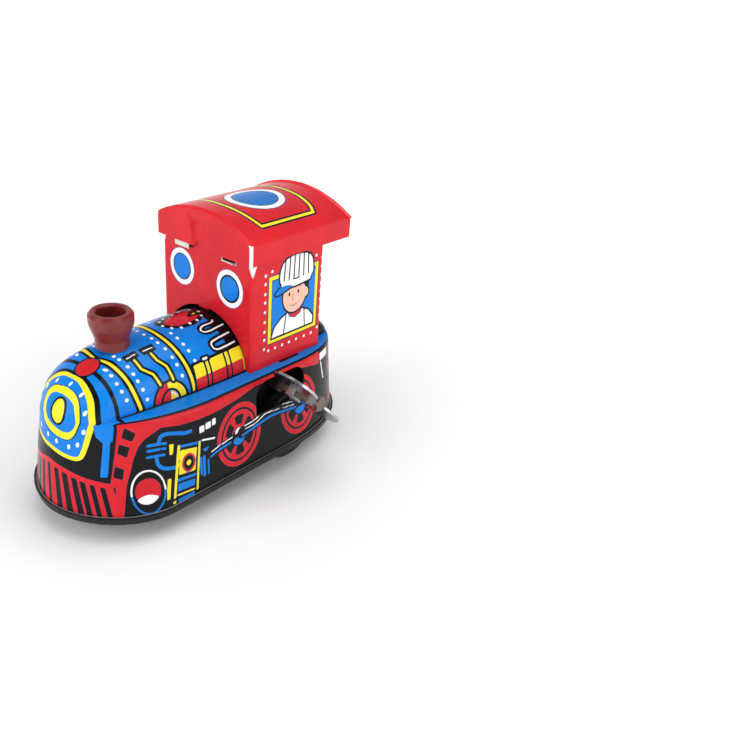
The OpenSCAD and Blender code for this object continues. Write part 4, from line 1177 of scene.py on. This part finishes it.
def add_bead():
    """The rear edge rolled into a scroll."""
    turns = np.linspace(0, 1.6 * 2 * math.pi, 40)
    outer = [(r * math.cos(a), r * math.sin(a)) for a, r in zip(turns, np.linspace(BEAD_R, 0.26, 40))]
    inner = [(r * math.cos(a), r * math.sin(a)) for a, r in zip(turns, np.linspace(BEAD_R - 0.13, 0.13, 40))]
    profile = outer + inner[::-1]
    reach = math.asin((ROOF_HALF + 0.3) / ROOF_R)
    rings = []
    centre = ROOF_CROWN - ROOF_R - 0.1
    for a in np.linspace(-reach, reach, 90):
        out = np.array((0, math.sin(a), math.cos(a)))
        at = np.array((ROOF_REAR, 0, centre)) + out * ROOF_R
        rings.append([at + np.array((u, 0, 0)) + out * v for u, v in profile])
    pts = np.array(rings)
    pts[..., 0] += ROOF_REAR - pts[..., 0].min()
    n, m = pts.shape[:2]
    faces = []
    for i in range(n - 1):
        for j in range(m):
            k = (j + 1) % m
            faces.append((i * m + j, i * m + k, (i + 1) * m + k, (i + 1) * m + j))
    for k in (0, n - 1):
        faces += [(k * m + j, k * m + j + 1, k * m + m - 2 - j, k * m + m - 1 - j) for j in range(39)]
    mesh = make_mesh("roof_bead", pts, faces)
    face_outward(mesh)
    mesh.materials.append(PLAIN_RED)
    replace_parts(link("roof_bead", mesh, "chassis"), "roof")


def add_foot_strip():
    """Thin bare flange of the body where it is folded under the pan's rim."""
    plan, _ = foot_half(240)
    ring = np.concatenate([plan, plan[-2:0:-1] * (1, -1)])
    step = np.roll(ring, -1, 0) - np.roll(ring, 1, 0)
    out = np.stack([step[:, 1], -step[:, 0]], 1)
    out /= np.linalg.norm(out, axis=1)[:, None]
    centre = ring * out
    if centre.sum() < 0:
        out = -out
    path = [((x, y, FOOT_Z), (nx, ny)) for (x, y), (nx, ny) in zip(ring, out)]
    profile = [(-0.3, 0.0), (0.28, 0.0), (0.31, 0.04), (0.28, 0.09), (0.05, 0.11), (-0.3, 0.11)]
    piece = sweep("body_foot_flange", path, profile, "chassis")
    piece.data.materials.append(TIN_EDGE)
    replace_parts(piece, "body_shell")


# ================================================================ finishes of the CAD pieces
PLAIN_RED = paint_finish("red_enamel", PALETTE["red"], srgb("C9C4B8"), 0.3, 0.5, 0.76, 0.3)
NODE_FINISH = {
    "base_pan": paint_finish("black_enamel", srgb("0C0D0F"), srgb("57544E"), 0.4, 0.1, 0.75, 0.2),
    "smokestack": paint_finish("maroon_paint", srgb("651917"), srgb("A87C34"), 0.36, 0.3, 0.70, 0.35),
    "key": metal_finish("nickel_plate", srgb("B9BCBF"), srgb("8E9297"), 0.15, (0.2, 0.2, 0.6), 0.08, 0.001),
    "winding_arbor": metal_finish("turned_steel", srgb("7F7873"), srgb("5E4130"), 0.3, (0.3, 4.0, 0.3)),
    "plate": metal_finish("zinc_plate", srgb("B9BBBC"), srgb("8E8F8D"), 0.34, (0.3, 1, 2.5), 0.5),
    "spring": metal_finish("blued_spring", srgb("5F6A78"), srgb("3A4048"), 0.25, (2.5, 0.3, 2.5)),
    "brass": metal_finish("gear_brass", srgb("C9A24E"), srgb("8C6A2C"), 0.27, (0.6, 3.0, 0.6)),
    "wheel": paint_finish("wheel_black", srgb("1A1B1D"), srgb("3A3A3A"), 0.45, 0.1, 0.78, 0.8, False),
    "steel": metal_finish("bright_steel", srgb("C6C7C8"), srgb("8F9092"), 0.24, (0.5, 3.0, 0.5)),
}
SLOT_FINISH = {
    "body_print": PLAIN_RED, "cab_print": PLAIN_RED, "roof_print": PLAIN_RED,
    "pan_black": NODE_FINISH["base_pan"],
    "stack_maroon": NODE_FINISH["smokestack"], "key_nickel": NODE_FINISH["key"],
    "bright_steel": NODE_FINISH["steel"], "plate_steel": NODE_FINISH["plate"],
    "spring_steel": NODE_FINISH["spring"], "gear_brass": NODE_FINISH["brass"],
    "wheel_black": NODE_FINISH["wheel"],
}


def dress_cad():
    for name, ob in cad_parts.items():
        old = ob.data.materials[0].name.split(".")[0] if ob.data.materials else ""
        finish = NODE_FINISH.get(name) or SLOT_FINISH.get(old)
        if finish is None:
            words = {
                "wheel_left": "wheel", "wheel_right": "wheel", "gear": "brass", "great": "brass",
                "pinion": "brass", "flywheel": "brass", "spring": "spring", "plate": "plate",
                "bracket": "plate",
            }
            finish = next((NODE_FINISH[v] for k, v in words.items() if k in name), NODE_FINISH["steel"])
        if name in ("axle_pinion", "second_pinion", "governor_pinion"):
            finish = NODE_FINISH["steel"]
        ob.data.materials.clear()
        ob.data.materials.append(finish)


# ================================================================ studio
CAMERA_AT = (134.15, 151.43, 126.2)
CAMERA_AZIMUTH, CAMERA_ELEVATION, CAMERA_ROLL = 125.76, 27.39, 5.16
LENS = 42.92
GROUND_Z = CAD_BOX[0][2] / MM
WORLD_LIGHT = 0.25


def add_camera():
    a, e, r = (math.radians(v) for v in (CAMERA_AZIMUTH, CAMERA_ELEVATION, CAMERA_ROLL))
    back = Vector((math.sin(a) * math.cos(e), -math.cos(a) * math.cos(e), math.sin(e)))
    right = Vector((0, 0, 1)).cross(back).normalized()
    up = back.cross(right)
    rolled = right * math.cos(r) + up * math.sin(r)
    camera = bpy.data.objects.new("camera", bpy.data.cameras.new("camera"))
    camera.data.lens = LENS
    camera.data.sensor_width = 36
    camera.data.clip_start = 0.001
    turn = Matrix((rolled, back.cross(rolled), back)).transposed().to_4x4()
    camera.matrix_world = Matrix.Translation(Vector(CAMERA_AT) * MM) @ turn
    bpy.context.scene.collection.objects.link(camera)
    bpy.context.scene.camera = camera
    bpy.context.scene.view_settings.view_transform = "Standard"


def add_light(name, at, aim, size, power):
    lamp = bpy.data.lights.new(name, "AREA")
    lamp.shape = "RECTANGLE"
    lamp.size, lamp.size_y = size[0] * MM, size[1] * MM
    lamp.energy = power
    ob = bpy.data.objects.new(name, lamp)
    place = Vector(at) * MM
    turn = (Vector(aim) * MM - place).to_track_quat("-Z", "Y").to_matrix().to_4x4()
    ob.matrix_world = Matrix.Translation(place) @ turn
    bpy.context.scene.collection.objects.link(ob)


def add_studio():
    rings, spokes, radius = 24, 48, 1500.0
    points = [(0, 0, GROUND_Z)]
    for k in range(1, rings + 1):
        r = radius * (k / rings) ** 1.5
        for a in np.arange(spokes) * 2 * math.pi / spokes:
            points.append((r * math.cos(a), r * math.sin(a), GROUND_Z))
    faces = [(0, 1 + j, 1 + (j + 1) % spokes) for j in range(spokes)]
    for k in range(rings - 1):
        a, b = 1 + k * spokes, 1 + (k + 1) * spokes
        faces += [(a + j, b + j, b + (j + 1) % spokes, a + (j + 1) % spokes) for j in range(spokes)]
    floor = link("floor", make_mesh("floor", points, faces), None)
    paper = Finish("paper", (0.93, 0.93, 0.935), roughness=0.6)
    cloud = paper.ramp(paper.noise(0.004, 2.0), 0.3, 0.7)
    paper.feed("Base Color", paper.mix(cloud, (0.92, 0.92, 0.925), (0.95, 0.95, 0.95)))
    far = paper.node("ShaderNodeVectorMath", {0: paper.place}, operation="LENGTH").outputs["Value"]
    paper.shader.inputs["Emission Color"].default_value = (1, 1, 1, 1)
    paper.feed("Emission Strength", paper.ramp(far, 0.05, 0.3, 0.0, 0.8))
    floor.data.materials.append(paper.material)
    world = bpy.data.worlds.new("studio")
    bpy.context.scene.world = world
    world.use_nodes = True
    tree = world.node_tree
    backdrop = tree.nodes["Background"]
    backdrop.inputs[0].default_value = (1, 1, 1, 1)
    # white at the horizon and below it, where the floor ends, and softer towards the zenith
    place = tree.nodes.new("ShaderNodeTexCoord")
    split = tree.nodes.new("ShaderNodeSeparateXYZ")
    level = tree.nodes.new("ShaderNodeMapRange")
    for socket, value in (("From Min", 0.0), ("From Max", 0.75), ("To Min", 1.05), ("To Max", WORLD_LIGHT)):
        level.inputs[socket].default_value = value
    tree.links.new(place.outputs["Generated"], split.inputs[0])
    tree.links.new(split.outputs["Z"], level.inputs["Value"])
    tree.links.new(level.outputs["Result"], backdrop.inputs[1])
    add_light("overhead", (-40, 60, 420), (0, 0, 20), (420, 420), 1.1)
    add_light("left_box", (360, -60, 190), (10, 0, 20), (260, 320), 0.75)
    add_light("right_box", (-60, 380, 160), (0, 0, 30), (260, 200), 0.36)


COLUMNS, ROWS = ((318, (66, 6, 10, 62)))
CELL = 0.22
add_camera()
add_body(1, "body_skin_left", COLUMNS, ROWS)
add_body(-1, "body_skin_right", COLUMNS, ROWS)
add_foot_strip()
add_cab(1, "cab_skin_left", CELL)
add_cab(-1, "cab_skin_right", CELL)
add_cab_tabs()
add_roof(CELL * 1.1)
dress_cad()
add_studio()
